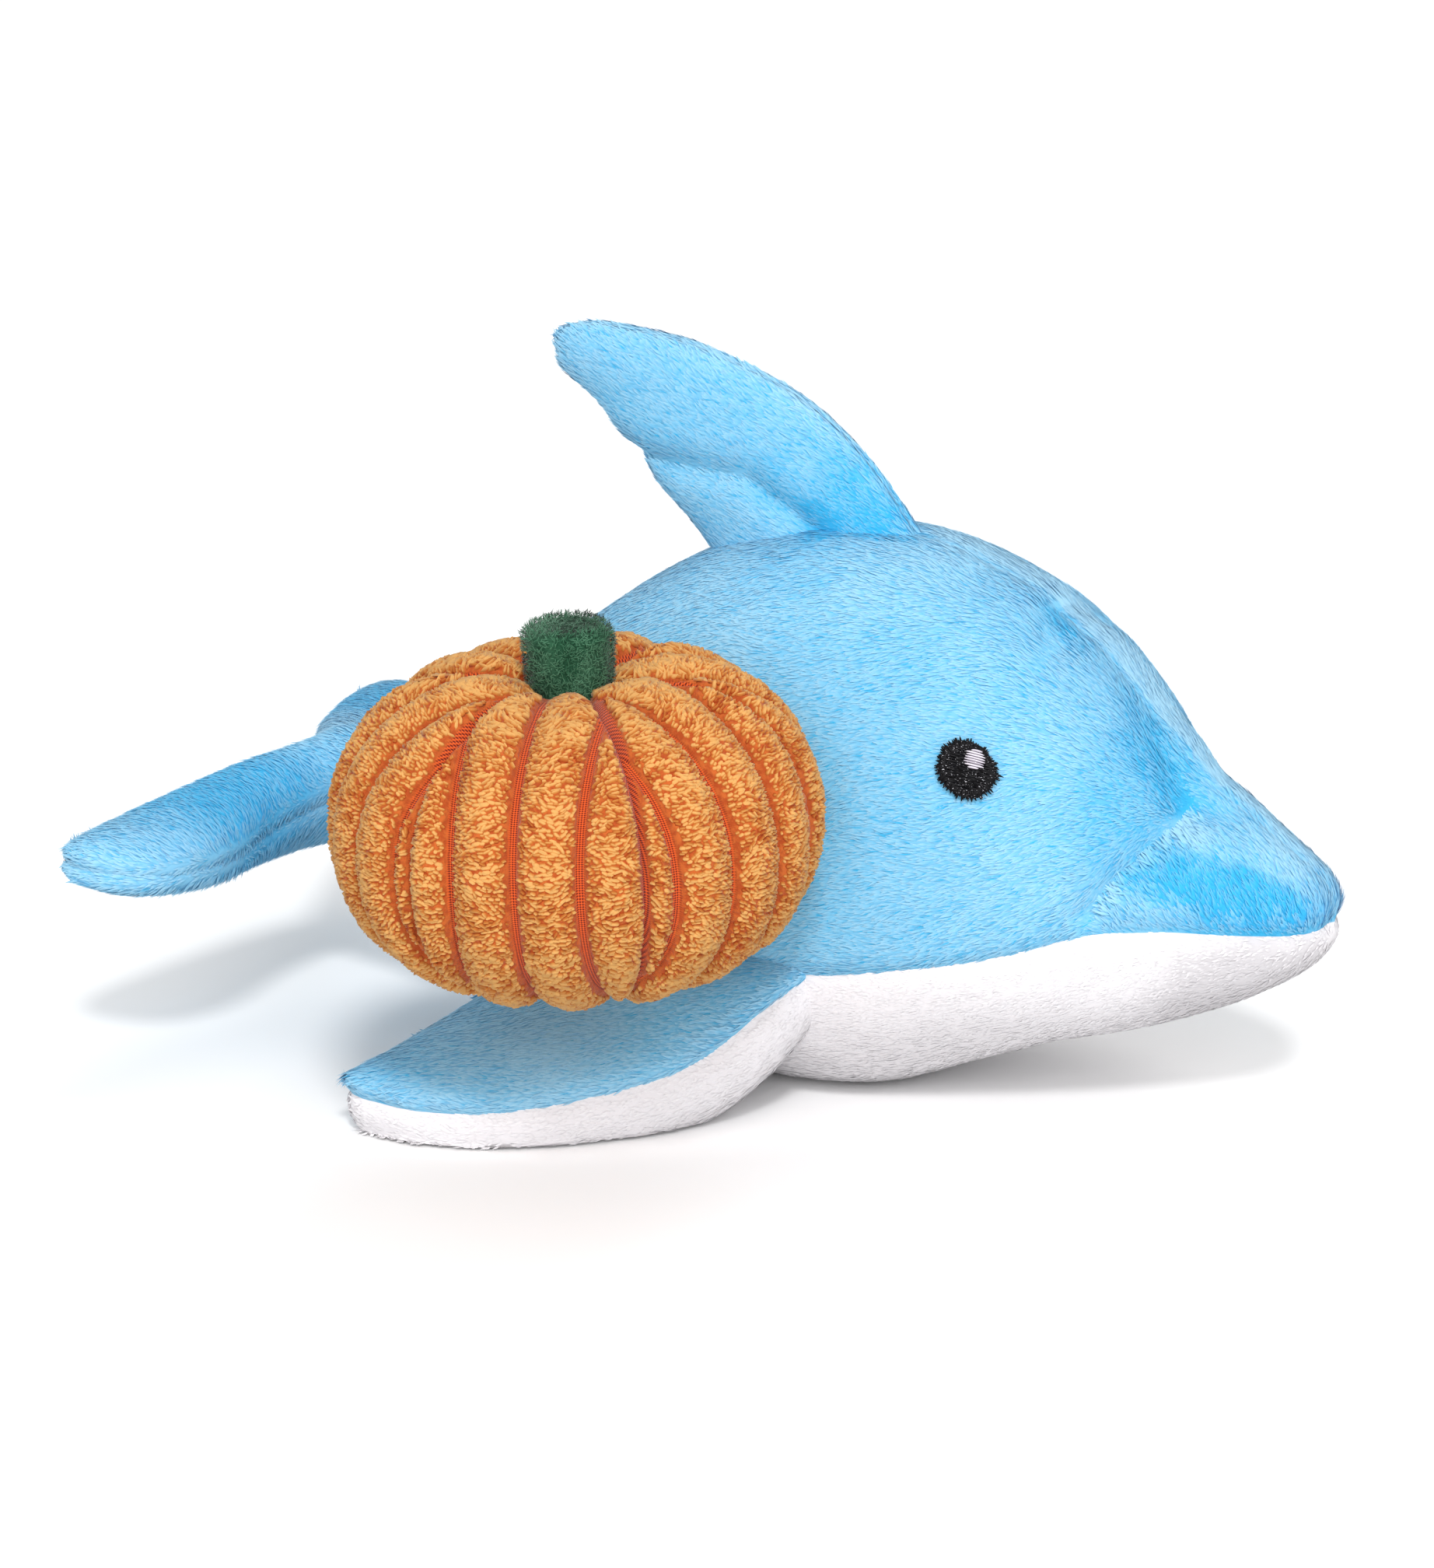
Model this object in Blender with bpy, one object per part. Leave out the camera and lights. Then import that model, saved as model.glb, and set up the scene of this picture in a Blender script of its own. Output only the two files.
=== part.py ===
"""Plush dolphin with a small plush pumpkin sewn to its right flank.

Metres, +Z up. +X points to the snout and +Y to the dolphin's left. The origin is the middle of the flat
spot under the belly, which the toy rests on together with its two flippers. Each piece of cut fabric is a
curved sheet of even thickness whose edges meet at the seams, and each filling is a solid that the sheets
close round. All are lofted through cross-sections, so a change of one size carries its neighbours along.
"""
import math
from collections import namedtuple

import bmesh
import bpy
import numpy as np
from mathutils import Matrix, Vector

# Fabric and sewing
SKIN = 0.0016
CLEARANCE = 0.0003
SEAM_DEPTH = 0.0011
SEAM_REACH = 0.0045
FULLNESS = 0.92
BACK_FULLNESS = 1.0

# Body, one row for each cut across it from the tail to the snout. Top, bottom, widest and seam are heights.
Cut = namedtuple("Cut", "x top bottom half_width widest seam")
BODY_CUTS = (
    Cut(-0.1060, 0.0460, 0.0420, 0.0015, 0.0440, 0.0420),
    Cut(-0.1035, 0.0510, 0.0370, 0.0095, 0.0445, 0.0370),
    Cut(-0.0950, 0.0560, 0.0315, 0.0165, 0.0450, 0.0315),
    Cut(-0.0760, 0.0650, 0.0230, 0.0225, 0.0460, 0.0230),
    Cut(-0.0520, 0.0790, 0.0110, 0.0310, 0.0470, 0.0135),
    Cut(-0.0280, 0.0955, 0.0020, 0.0400, 0.0480, 0.0240),
    Cut(-0.0040, 0.1045, -0.0028, 0.0458, 0.0480, 0.0285),
    Cut(0.0180, 0.1055, -0.0020, 0.0466, 0.0480, 0.0288),
    Cut(0.0380, 0.0998, 0.0050, 0.0445, 0.0480, 0.0322),
    Cut(0.0530, 0.0912, 0.0103, 0.0402, 0.0480, 0.0352),
    Cut(0.0660, 0.0778, 0.0138, 0.0330, 0.0465, 0.0390),
    Cut(0.0780, 0.0621, 0.0175, 0.0242, 0.0430, 0.0393),
    Cut(0.0900, 0.0559, 0.0228, 0.0183, 0.0410, 0.0385),
    Cut(0.0995, 0.0492, 0.0290, 0.0128, 0.0400, 0.0380),
    Cut(0.1035, 0.0445, 0.0335, 0.0070, 0.0395, 0.0380),
    Cut(0.1046, 0.0410, 0.0375, 0.0015, 0.0393, 0.0385),
)
BELLY_END = -0.0560

# Fins, one row for each cut from the root to the tip: where its two edges are and how far it swells each way
Rib = namedtuple("Rib", "leading trailing rise drop")
DORSAL_RIBS = (
    Rib((0.0300, 0.0, 0.0920), (-0.0140, 0.0, 0.0860), 0.0085, 0.0085),
    Rib((0.0198, 0.0, 0.1068), (-0.0250, 0.0, 0.1005), 0.0085, 0.0085),
    Rib((0.0090, 0.0, 0.1200), (-0.0368, 0.0, 0.1120), 0.0078, 0.0078),
    Rib((-0.0050, 0.0, 0.1303), (-0.0458, 0.0, 0.1230), 0.0068, 0.0068),
    Rib((-0.0230, 0.0, 0.1372), (-0.0534, 0.0, 0.1290), 0.0062, 0.0062),
    Rib((-0.0390, 0.0, 0.1401), (-0.0550, 0.0, 0.1335), 0.0052, 0.0052),
    Rib((-0.0462, 0.0, 0.1404), (-0.0549, 0.0, 0.1363), 0.0038, 0.0038),
    Rib((-0.0504, 0.0, 0.1399), (-0.0535, 0.0, 0.1384), 0.0017, 0.0017),
)
DORSAL_FOLD = ((-0.0380, 0.1140), (-0.0120, 0.1130), (0.0050, 0.1030))
FOLD_DEPTH = 0.0022
FOLD_REACH = 0.0065
FLIPPER_RIBS = (
    Rib((0.0220, -0.0260, 0.0320), (-0.0360, -0.0160, 0.0300), 0.0070, 0.0140),
    Rib((0.0140, -0.0490, 0.0258), (-0.0420, -0.0350, 0.0245), 0.0080, 0.0270),
    Rib((0.0010, -0.0605, 0.0142), (-0.0500, -0.0480, 0.0170), 0.0085, 0.0235),
    Rib((-0.0145, -0.0730, 0.0096), (-0.0550, -0.0580, 0.0130), 0.0080, 0.0200),
    Rib((-0.0295, -0.0815, 0.0074), (-0.0585, -0.0660, 0.0105), 0.0072, 0.0175),
    Rib((-0.0435, -0.0845, 0.0069), (-0.0605, -0.0715, 0.0090), 0.0064, 0.0135),
    Rib((-0.0545, -0.0835, 0.0073), (-0.0618, -0.0760, 0.0080), 0.0050, 0.0085),
    Rib((-0.0582, -0.0822, 0.0074), (-0.0618, -0.0780, 0.0078), 0.0036, 0.0058),
    Rib((-0.0598, -0.0812, 0.0075), (-0.0614, -0.0790, 0.0077), 0.0017, 0.0022),
)
FLUKE_RIBS = (
    Rib((-0.0900, 0.0, 0.0450), (-0.1080, 0.0, 0.0490), 0.0085, 0.0150),
    Rib((-0.0965, -0.0150, 0.0430), (-0.1120, -0.0085, 0.0485), 0.0085, 0.0145),
    Rib((-0.0990, -0.0300, 0.0420), (-0.1170, -0.0200, 0.0470), 0.0083, 0.0120),
    Rib((-0.0985, -0.0450, 0.0410), (-0.1215, -0.0340, 0.0455), 0.0080, 0.0092),
    Rib((-0.1000, -0.0580, 0.0410), (-0.1255, -0.0480, 0.0440), 0.0076, 0.0078),
    Rib((-0.1055, -0.0680, 0.0415), (-0.1278, -0.0590, 0.0430), 0.0066, 0.0066),
    Rib((-0.1145, -0.0720, 0.0420), (-0.1278, -0.0650, 0.0432), 0.0050, 0.0050),
    Rib((-0.1190, -0.0722, 0.0422), (-0.1268, -0.0682, 0.0430), 0.0037, 0.0037),
    Rib((-0.1220, -0.0716, 0.0425), (-0.1250, -0.0700, 0.0428), 0.0017, 0.0017),
)
FLUKE_TURN = math.radians(2.0)

# Eyes, stitched straight onto the head
EYE_X = 0.0461
EYE_Z = 0.0706
EYE_RADIUS = 0.0054
EYE_HEIGHT = 0.0007
EYE_CROWN = 0.82
GLINT_RADIUS = 0.0019
GLINT_AHEAD = 0.0011
GLINT_ABOVE = 0.0022

# Pumpkin: six gores of ribbed plush. Its ribs keep their width, so the seams cut across the outer ones.
PUMPKIN_X = -0.0118
PUMPKIN_Z = 0.0662
PUMPKIN_RADIUS = 0.0442
PUMPKIN_HALF_HEIGHT = 0.0305
PUMPKIN_SIDE_POWER = 0.80
PUMPKIN_TOP_POWER = 0.92
PUMPKIN_PRESS = 0.0040
PUMPKIN_LEAN = math.radians(5.0)
GORES = 6
RIB_PITCH = 0.0125
RIB_DEPTH = 0.0030
RIB_POWER = 0.55
RIB_SHOULDER = 0.16
RIB_FADE_RADIUS = 0.0200
RIB_SHIFTS = (0.0015, 0.0045, 0.0080, 0.0110, 0.0020, 0.0065)
FIRST_GORE = math.radians(-78.0)
DIMPLE_DEPTH = 0.0062
DIMPLE_REACH = 0.0125
PUMPKIN_EASE = 0.0005
COLUMN_ROOM = 0.00025
EDGE_ROOM = 0.0008
STEM_RADIUS = 0.0077
STEM_TIP_RADIUS = 0.0083
STEM_ABOVE = 0.0107
STEM_ROUNDING = 0.0012
BASE_RING = 0.0028

# Mesh steps
BODY_STEPS = 24
SIDE_STEPS = 10
BELLY_STEPS = 9
FIN_STEPS = 10
FIN_SIDE_STEPS = 6
GORE_STEPS = 10
EYE_STEPS = 20
STEM_STEPS = 18
PUMPKIN_RINGS = 10
PUMPKIN_AROUND = 32
PUMPKIN_POLE = math.radians(89.0)
SHARP_EDGE = math.radians(50.0)

BLUE = ("blue_plush", (0.235, 0.600, 0.900), 0.95)
WHITE = ("white_plush", (0.870, 0.855, 0.870), 0.95)
FILLING = ("polyester_filling", (0.840, 0.830, 0.800), 0.98)
BLACK_THREAD = ("black_thread", (0.010, 0.010, 0.013), 0.55)
LILAC_THREAD = ("lilac_thread", (0.720, 0.660, 0.730), 0.60)
ORANGE = ("orange_rib_plush", (0.700, 0.330, 0.090), 0.95)
GREEN = ("green_fleece", (0.025, 0.140, 0.065), 0.95)


def clear_scene():
    for item in list(bpy.data.objects):
        bpy.data.objects.remove(item)


def material(finish):
    name, colour, roughness = finish
    if name in bpy.data.materials:
        return bpy.data.materials[name]
    made = bpy.data.materials.new(name)
    made.use_nodes = True
    shader = made.node_tree.nodes["Principled BSDF"]
    shader.inputs["Base Color"].default_value = (*colour, 1.0)
    shader.inputs["Roughness"].default_value = roughness
    shader.inputs["Metallic"].default_value = 0.0
    return made


def through(rows, position):
    """Point on the smooth curve through the rows, from 0 at the first row to 1 at the last."""
    last = len(rows) - 1
    along = min(max(position, 0.0), 1.0) * last
    start = min(int(along), last - 1)
    t = along - start
    before, here, there, after = (rows[min(max(start + k, 0), last)] for k in (-1, 0, 1, 2))
    return 0.5 * (
        2 * here
        + (there - before) * t
        + (2 * before - 5 * here + 4 * there - after) * t * t
        + (3 * here - before - 3 * there + after) * t ** 3
    )


def unit(vector):
    return vector / max(np.linalg.norm(vector), 1e-12)


def signed_power(value, power):
    return math.copysign(abs(value) ** power, value)


def falloff(distance, reach):
    """1 on a seam or fold, easing to 0 at its reach."""
    return max(0.0, 1.0 - distance / reach) ** 2


def distance_to_path(x, z, path):
    """Distance in the XZ plane from a point to a line of points."""
    spot = np.array((x, z))
    nearest = math.inf
    for start, end in zip(path, path[1:]):
        start, end = np.array(start), np.array(end)
        run = end - start
        share = min(max(float((spot - start) @ run) / float(run @ run), 0.0), 1.0)
        nearest = min(nearest, float(np.linalg.norm(spot - start - share * run)))
    return nearest


class Surface:
    """A rounded form: u runs along it from 0 to 1, and angle once round it from 0 to 360 degrees."""

    outward = 1.0

    def point(self, u, angle):
        raise NotImplementedError

    def seams(self, u):
        raise NotImplementedError

    def fold(self, point):
        """How far a fold in the fabric presses the form in at this point."""
        return 0.0

    def normal(self, u, angle):
        du, da = 0.004, 0.5
        low, high = max(u - du, 0.0), min(u + du, 1.0)
        along = self.point(high, angle) - self.point(low, angle)
        across = self.point(u, angle + da) - self.point(u, angle - da)
        return unit(np.cross(along, across)) * self.outward

    def at(self, u, angle, depth):
        """Point at this depth under the sewn fabric, which seams and folds pull in."""
        point = self.point(u, angle)
        near = min(float(np.linalg.norm(point - self.point(u, seam))) for seam in self.seams(u))
        depth = depth + SEAM_DEPTH * falloff(near, SEAM_REACH) + self.fold(point)
        return point - self.normal(u, angle) * depth


class Body(Surface):
    """Head, trunk and tail. The angle runs from the back down the right flank to the belly and up again."""

    outward = -1.0

    def __init__(self):
        self.rows = np.array(BODY_CUTS)

    def point(self, u, angle):
        x, top, bottom, half_width, widest, _ = through(self.rows, u)
        rise, side = math.cos(math.radians(angle)), math.sin(math.radians(angle))
        reach = top - widest if rise > 0 else widest - bottom
        y = -half_width * signed_power(side, FULLNESS)
        z = widest + reach * signed_power(rise, BACK_FULLNESS if rise > 0 else FULLNESS)
        return np.array((x, y, max(z, 0.0)))

    def side_seam(self, u):
        """Angle of the seam between the blue right side and the white belly."""
        _, top, bottom, _, widest, seam = through(self.rows, u)
        reach = top - widest if seam > widest else widest - bottom
        power = BACK_FULLNESS if seam > widest else FULLNESS
        rise = signed_power(min(max((seam - widest) / reach, -1.0), 1.0), 1.0 / power)
        return math.degrees(math.acos(rise))

    def seams(self, u):
        side = self.side_seam(u)
        return (0.0, side, 360.0 - side, 360.0)

    def u_at(self, x):
        """Place along the body of the cut at this x."""
        low, high = 0.0, 1.0
        for _ in range(40):
            middle = (low + high) / 2
            if through(self.rows, middle)[0] < x:
                low = middle
            else:
                high = middle
        return (low + high) / 2

    def angle_at(self, u, z):
        """Angle on the right flank where the cut reaches this height."""
        _, top, bottom, _, widest, _ = through(self.rows, u)
        reach = top - widest if z > widest else widest - bottom
        power = BACK_FULLNESS if z > widest else FULLNESS
        share = min(max((z - widest) / reach, -1.0), 1.0)
        return math.degrees(math.acos(signed_power(share, 1.0 / power)))

    def flank(self, x, z):
        """Half the body's width at this x and height."""
        u = self.u_at(x)
        return -self.point(u, self.angle_at(u, z))[1]


class Fin(Surface):
    """A flat padded fin. 0 degrees is its leading edge, 90 its first side and 180 its trailing edge."""

    def __init__(self, ribs, first_side, side=1.0, path=None):
        flip = np.array((1.0, side, 1.0))
        self.rows = np.array([[*np.multiply(rib.leading, flip), *np.multiply(rib.trailing, flip),
                               rib.rise, rib.drop] for rib in ribs])
        self.first_side = np.multiply(first_side, flip)
        self.path = path
        self.outward = 1.0
        centre = self.rows[2, :3] * 0.5 + self.rows[2, 3:6] * 0.5
        middle = 2 / (len(ribs) - 1)
        if self.normal(middle, 90.0) @ (self.point(middle, 90.0) - centre) < 0:
            self.outward = -1.0

    def point(self, u, angle):
        row = through(self.rows, u)
        leading, trailing, rise, drop = row[:3], row[3:6], row[6], row[7]
        chord = (leading - trailing) / 2
        along = unit(chord)
        up = unit(self.first_side - (self.first_side @ along) * along)
        side = math.sin(math.radians(angle))
        swell = (rise if side > 0 else drop) * signed_power(side, FULLNESS)
        point = (leading + trailing) / 2 + chord * math.cos(math.radians(angle)) + up * swell
        point[2] = max(point[2], 0.0)
        return point

    def seams(self, u):
        return (0.0, 180.0, 360.0)

    def fold(self, point):
        if self.path is None:
            return 0.0
        return FOLD_DEPTH * falloff(distance_to_path(point[0], point[2], self.path), FOLD_REACH)


class Pumpkin(Surface):
    """The pumpkin. u runs from the gathered base to the rim round the stem."""

    def __init__(self, body):
        self.body = body
        y = -(body.flank(PUMPKIN_X, PUMPKIN_Z) + PUMPKIN_RADIUS - PUMPKIN_PRESS)
        self.frame = Matrix.Translation((PUMPKIN_X, y, PUMPKIN_Z)) @ Matrix.Rotation(PUMPKIN_LEAN, 4, "X")

    def meridian(self, latitude):
        """Radius and height of the smooth form at a latitude, with a dimple at each end."""
        radius = PUMPKIN_RADIUS * abs(math.cos(latitude)) ** PUMPKIN_SIDE_POWER
        height = PUMPKIN_HALF_HEIGHT * signed_power(math.sin(latitude), PUMPKIN_TOP_POWER)
        dimple = DIMPLE_DEPTH * math.exp(-(radius / DIMPLE_REACH) ** 2)
        return radius, height - math.copysign(dimple, height)

    def smooth(self, latitude, longitude):
        radius, height = self.meridian(latitude)
        return np.array((radius * math.cos(longitude), radius * math.sin(longitude), height))

    def latitude_of(self, radius, sign):
        share = min(radius / PUMPKIN_RADIUS, 1.0) ** (1 / PUMPKIN_SIDE_POWER)
        return sign * math.acos(share)

    def under(self, latitude, longitude, depth):
        """Point in the pumpkin's own frame at this depth under the smooth form."""
        step = 0.01
        along = self.smooth(latitude + step, longitude) - self.smooth(latitude - step, longitude)
        across = self.smooth(latitude, longitude + step) - self.smooth(latitude, longitude - step)
        return self.smooth(latitude, longitude) - unit(np.cross(across, along)) * depth

    def place(self, latitude, longitude, depth):
        """World point at this depth, pushed back to where the dolphin's flank holds it off."""
        world = self.frame @ Vector(self.under(latitude, longitude, depth))
        held_at = -(self.body.flank(world.x, world.z) + CLEARANCE + max(depth, 0.0))
        world.y = min(world.y, held_at)
        return world


def finish_mesh(name, mesh_data, finish):
    """Turns a bmesh into an object. Like faces of two layers split on like diagonals, so the gap stays even."""
    bmesh.ops.triangulate(mesh_data, faces=mesh_data.faces, quad_method="SHORT_EDGE")
    bmesh.ops.recalc_face_normals(mesh_data, faces=mesh_data.faces)
    if mesh_data.calc_volume(signed=True) < 0:
        bmesh.ops.reverse_faces(mesh_data, faces=mesh_data.faces)
    mesh = bpy.data.meshes.new(name)
    mesh_data.to_mesh(mesh)
    mesh_data.free()
    mesh.shade_smooth()
    mesh.set_sharp_from_angle(angle=SHARP_EDGE)
    made = bpy.data.objects.new(name, mesh)
    bpy.context.scene.collection.objects.link(made)
    if finish is not None:
        mesh.materials.append(material(finish))
    return made


def sheet(name, finish, along_steps, across_steps, place):
    """A closed curved sheet: a grid, extruded once. place(i, j, inner) gives each of its points."""
    bm = bmesh.new()
    bmesh.ops.create_grid(bm, x_segments=along_steps, y_segments=across_steps, size=0.5)
    row, column = bm.verts.layers.int.new("row"), bm.verts.layers.int.new("column")
    for vert in bm.verts:
        vert[row] = round((vert.co.x + 0.5) * along_steps)
        vert[column] = round((vert.co.y + 0.5) * across_steps)
    made = bmesh.ops.extrude_face_region(bm, geom=bm.faces[:], use_keep_orig=True)
    inner = {item for item in made["geom"] if isinstance(item, bmesh.types.BMVert)}
    for vert in bm.verts:
        vert.co = place(vert[row], vert[column], vert in inner)
    return finish_mesh(name, bm, finish)


def closed_form(name, finish, along_steps, across_steps, place):
    """A solid: a grid wrapped into a tube, with its two ends filled. place(i, j) gives each point."""
    bm = bmesh.new()
    bmesh.ops.create_grid(bm, x_segments=along_steps, y_segments=across_steps, size=0.5)
    for vert in bm.verts:
        i = round((vert.co.x + 0.5) * along_steps)
        j = round((vert.co.y + 0.5) * across_steps) % across_steps
        vert.co = place(i, j)
    bmesh.ops.remove_doubles(bm, verts=bm.verts, dist=1e-7)
    bmesh.ops.holes_fill(bm, edges=bm.edges, sides=0)
    return finish_mesh(name, bm, finish)


def eased(share):
    """Crowds the columns of a wide panel towards its two seams."""
    return (1.0 - math.cos(math.pi * share)) / 2


def straight(share):
    return share


def panel(name, finish, surface, span, rows, steps, spacing):
    """One cut piece of fabric on a surface, between the two angles that span(u) gives."""
    def place(i, j, inner):
        u = rows[i]
        first, last = span(u)
        depth = SKIN if inner else 0.0

        def column(k):
            return surface.at(u, first + (last - first) * spacing(k / steps), depth)

        point = column(j)
        if j == 0:
            point = point + unit(column(1) - point) * CLEARANCE / 2
        elif j == steps:
            point = point + unit(column(steps - 1) - point) * CLEARANCE / 2
        return point

    return sheet(name, finish, len(rows) - 1, steps, place)


def filled(name, finish, surface, spans, rows, depth):
    """A solid under a surface, with the columns that its panels have. spans: (span, steps, spacing)."""
    columns = [(span, k / steps, spacing) for span, steps, spacing in spans for k in range(steps)]

    def place(i, j):
        u = rows[i]
        span, share, spacing = columns[j]
        first, last = span(u)
        return surface.at(u, first + (last - first) * spacing(share), depth)

    return closed_form(name, finish, len(rows) - 1, len(columns), place)


def guide(made):
    made.hide_render = True
    made.display_type = "WIRE"
    return made


def cut(made, cutter):
    """Trims a fin where it is sewn to the body."""
    trim = made.modifiers.new("sewn_to_body", "BOOLEAN")
    trim.operation = "DIFFERENCE"
    trim.solver = "EXACT"
    trim.object = cutter


def build_body(body):
    """Two blue sides, the white belly, the filling and the guide that trims what is sewn on."""
    rows = [k / BODY_STEPS for k in range(BODY_STEPS + 1)]
    belly_start = body.u_at(BELLY_END)
    belly_rows = [belly_start] + [u for u in rows if u > belly_start + 0.3 / BODY_STEPS]

    def right(u):
        return 0.0, body.side_seam(u)

    def left(u):
        return 360.0, 360.0 - body.side_seam(u)

    def left_reversed(u):
        return 360.0 - body.side_seam(u), 360.0

    def belly(u):
        side = body.side_seam(u)
        return side, 360.0 - side

    panel("body_side_right", BLUE, body, right, rows, SIDE_STEPS, eased)
    panel("body_side_left", BLUE, body, left, rows, SIDE_STEPS, eased)
    panel("belly_panel", WHITE, body, belly, belly_rows, BELLY_STEPS, eased)
    spans = ((right, SIDE_STEPS, eased), (belly, BELLY_STEPS, eased), (left_reversed, SIDE_STEPS, eased))
    filled("body_stuffing", FILLING, body, spans, rows, SKIN + CLEARANCE)
    return guide(filled("sewing_outline", None, body, spans, rows, -CLEARANCE))


def build_fin(names, finishes, fin, cutter):
    """Two cut panels and their filling, trimmed where the fin meets the body."""
    rows = [k / FIN_STEPS for k in range(FIN_STEPS + 1)]

    def first(u):
        return 0.0, 180.0

    def second(u):
        return 180.0, 360.0

    spans = ((first, FIN_SIDE_STEPS, straight), (second, FIN_SIDE_STEPS, straight))
    pieces = [
        panel(names[0], finishes[0], fin, first, rows, FIN_SIDE_STEPS, straight),
        panel(names[1], finishes[1], fin, second, rows, FIN_SIDE_STEPS, straight),
        filled(names[2], FILLING, fin, spans, rows, SKIN + CLEARANCE),
    ]
    for piece in pieces:
        cut(piece, cutter)


def build_flukes(cutter):
    """The flukes are cut as one top and one underside, from tip to tip."""
    turn = Matrix.Rotation(FLUKE_TURN, 3, "Z")

    def turned(rib, side):
        leading, trailing = (turn @ Vector((x, side * y, z)) for x, y, z in (rib.leading, rib.trailing))
        return Rib(leading, trailing, rib.rise, rib.drop)

    near_half = [turned(rib, 1.0) for rib in reversed(FLUKE_RIBS)]
    far_half = [turned(rib, -1.0) for rib in FLUKE_RIBS[1:]]
    fin = Fin(near_half + far_half, (0.0, 0.0, 1.0))
    steps = 2 * FIN_STEPS
    rows = [k / steps for k in range(steps + 1)]

    def top(u):
        return 0.0, 180.0

    def underside(u):
        return 180.0, 360.0

    spans = ((top, FIN_SIDE_STEPS, straight), (underside, FIN_SIDE_STEPS, straight))
    cut(panel("fluke_top", BLUE, fin, top, rows, FIN_SIDE_STEPS, straight), cutter)
    cut(panel("fluke_underside", BLUE, fin, underside, rows, FIN_SIDE_STEPS, straight), cutter)
    cut(filled("fluke_stuffing", FILLING, fin, spans, rows, SKIN + CLEARANCE), cutter)


def stitched_disc(name, finish, body, radius, ahead, above, base, side):
    """A low round pad of satin stitch that follows the head. ahead and above shift it from the eye."""
    bm = bmesh.new()
    bmesh.ops.create_cone(bm, cap_ends=True, segments=EYE_STEPS, radius1=1.0, radius2=EYE_CROWN, depth=1.0)
    u0 = body.u_at(EYE_X)
    angle0 = body.angle_at(u0, EYE_Z)
    around = np.linalg.norm(body.point(u0, angle0 + 0.5) - body.point(u0, angle0 - 0.5))
    for vert in bm.verts:
        lift = base + (EYE_HEIGHT if vert.co.z > 0 else 0.0)
        x = EYE_X + ahead + vert.co.x * radius
        angle = angle0 - (above + vert.co.y * radius) / around
        u = body.u_at(x)
        point = body.point(u, angle) + body.normal(u, angle) * lift
        vert.co = point * (1.0, side, 1.0)
    finish_mesh(name, bm, finish)


def build_eyes(body):
    """Each eye is a black disc with a small pale glint on it."""
    for word, side in (("right", 1.0), ("left", -1.0)):
        stitched_disc(f"eye_{word}", BLACK_THREAD, body, EYE_RADIUS, 0.0, 0.0, CLEARANCE, side)
        stitched_disc(f"eye_{word}_glint", LILAC_THREAD, body, GLINT_RADIUS, GLINT_AHEAD, GLINT_ABOVE,
                      2 * CLEARANCE + EYE_HEIGHT, side)


def rib_columns(shift, half_width):
    """Distances from a gore's middle line of its edges, its grooves and the shoulders and crests between."""
    marks = []
    number = math.ceil(half_width / RIB_PITCH) + 1
    for k in range(-number, number + 1):
        for share in (0.0, RIB_SHOULDER, 0.5, 1.0 - RIB_SHOULDER):
            place = (k + share) * RIB_PITCH - shift
            if abs(place) < half_width - EDGE_ROOM:
                marks.append(place)
    return [-half_width, *sorted(marks), half_width]


def squeezed(marks, half_width):
    """The marks where the gore narrows: those past its edge crowd up against the seam."""
    room = min(COLUMN_ROOM, 1.5 * half_width / len(marks))
    middle = len(marks) // 2
    places = list(marks)
    places[0], places[-1] = -half_width, half_width
    for k in range(1, middle):
        places[k] = max(places[k], places[k - 1] + room)
    for k in range(len(places) - 2, middle - 1, -1):
        places[k] = min(places[k], places[k + 1] - room)
    for k in range(middle, len(places) - 1):
        places[k] = max(places[k], places[k - 1] + room)
    return places


def rib_dip(distance, half_width, shift):
    """Depth of the fabric under the rib crests, at this distance from the gore's middle line."""
    phase = math.sin(math.pi * (distance + shift) / RIB_PITCH)
    groove = RIB_DEPTH * (1.0 - abs(phase) ** RIB_POWER)
    seam = RIB_DEPTH * falloff(half_width - abs(distance), SEAM_REACH)
    return max(groove, seam)


def build_pumpkin(body):
    """Six ribbed gores round a filling, with the stem in the dimple on top."""
    pumpkin = Pumpkin(body)
    low = pumpkin.latitude_of(BASE_RING, -1.0)
    high = pumpkin.latitude_of(STEM_RADIUS + CLEARANCE, 1.0)
    wide = 2 * math.pi / GORES
    half_equator = PUMPKIN_RADIUS * wide / 2

    def latitude(share):
        return low + (high - low) * share

    for number in range(GORES):
        middle = FIRST_GORE + number * wide
        shift = RIB_SHIFTS[number % len(RIB_SHIFTS)]
        marks = rib_columns(shift, half_equator)

        def place(i, j, inner):
            height = latitude(i / GORE_STEPS)
            radius = pumpkin.meridian(height)[0]
            edge = radius * wide / 2 - CLEARANCE / 2
            distance = squeezed(marks, edge)[j]
            fade = min(1.0, radius / RIB_FADE_RADIUS)
            depth = rib_dip(distance, edge, shift) * fade + (SKIN if inner else 0.0)
            return pumpkin.place(height, middle + distance / radius, depth)

        sheet(f"pumpkin_gore_{number + 1}", ORANGE, GORE_STEPS, len(marks) - 1, place)

    under = RIB_DEPTH + SKIN + CLEARANCE + PUMPKIN_EASE

    def fill(i, j):
        height = PUMPKIN_POLE * (2 * i / PUMPKIN_RINGS - 1)
        return pumpkin.place(height, 2 * math.pi * j / PUMPKIN_AROUND, under)

    closed_form("pumpkin_stuffing", FILLING, PUMPKIN_RINGS, PUMPKIN_AROUND, fill)
    build_stem(pumpkin, under)


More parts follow.
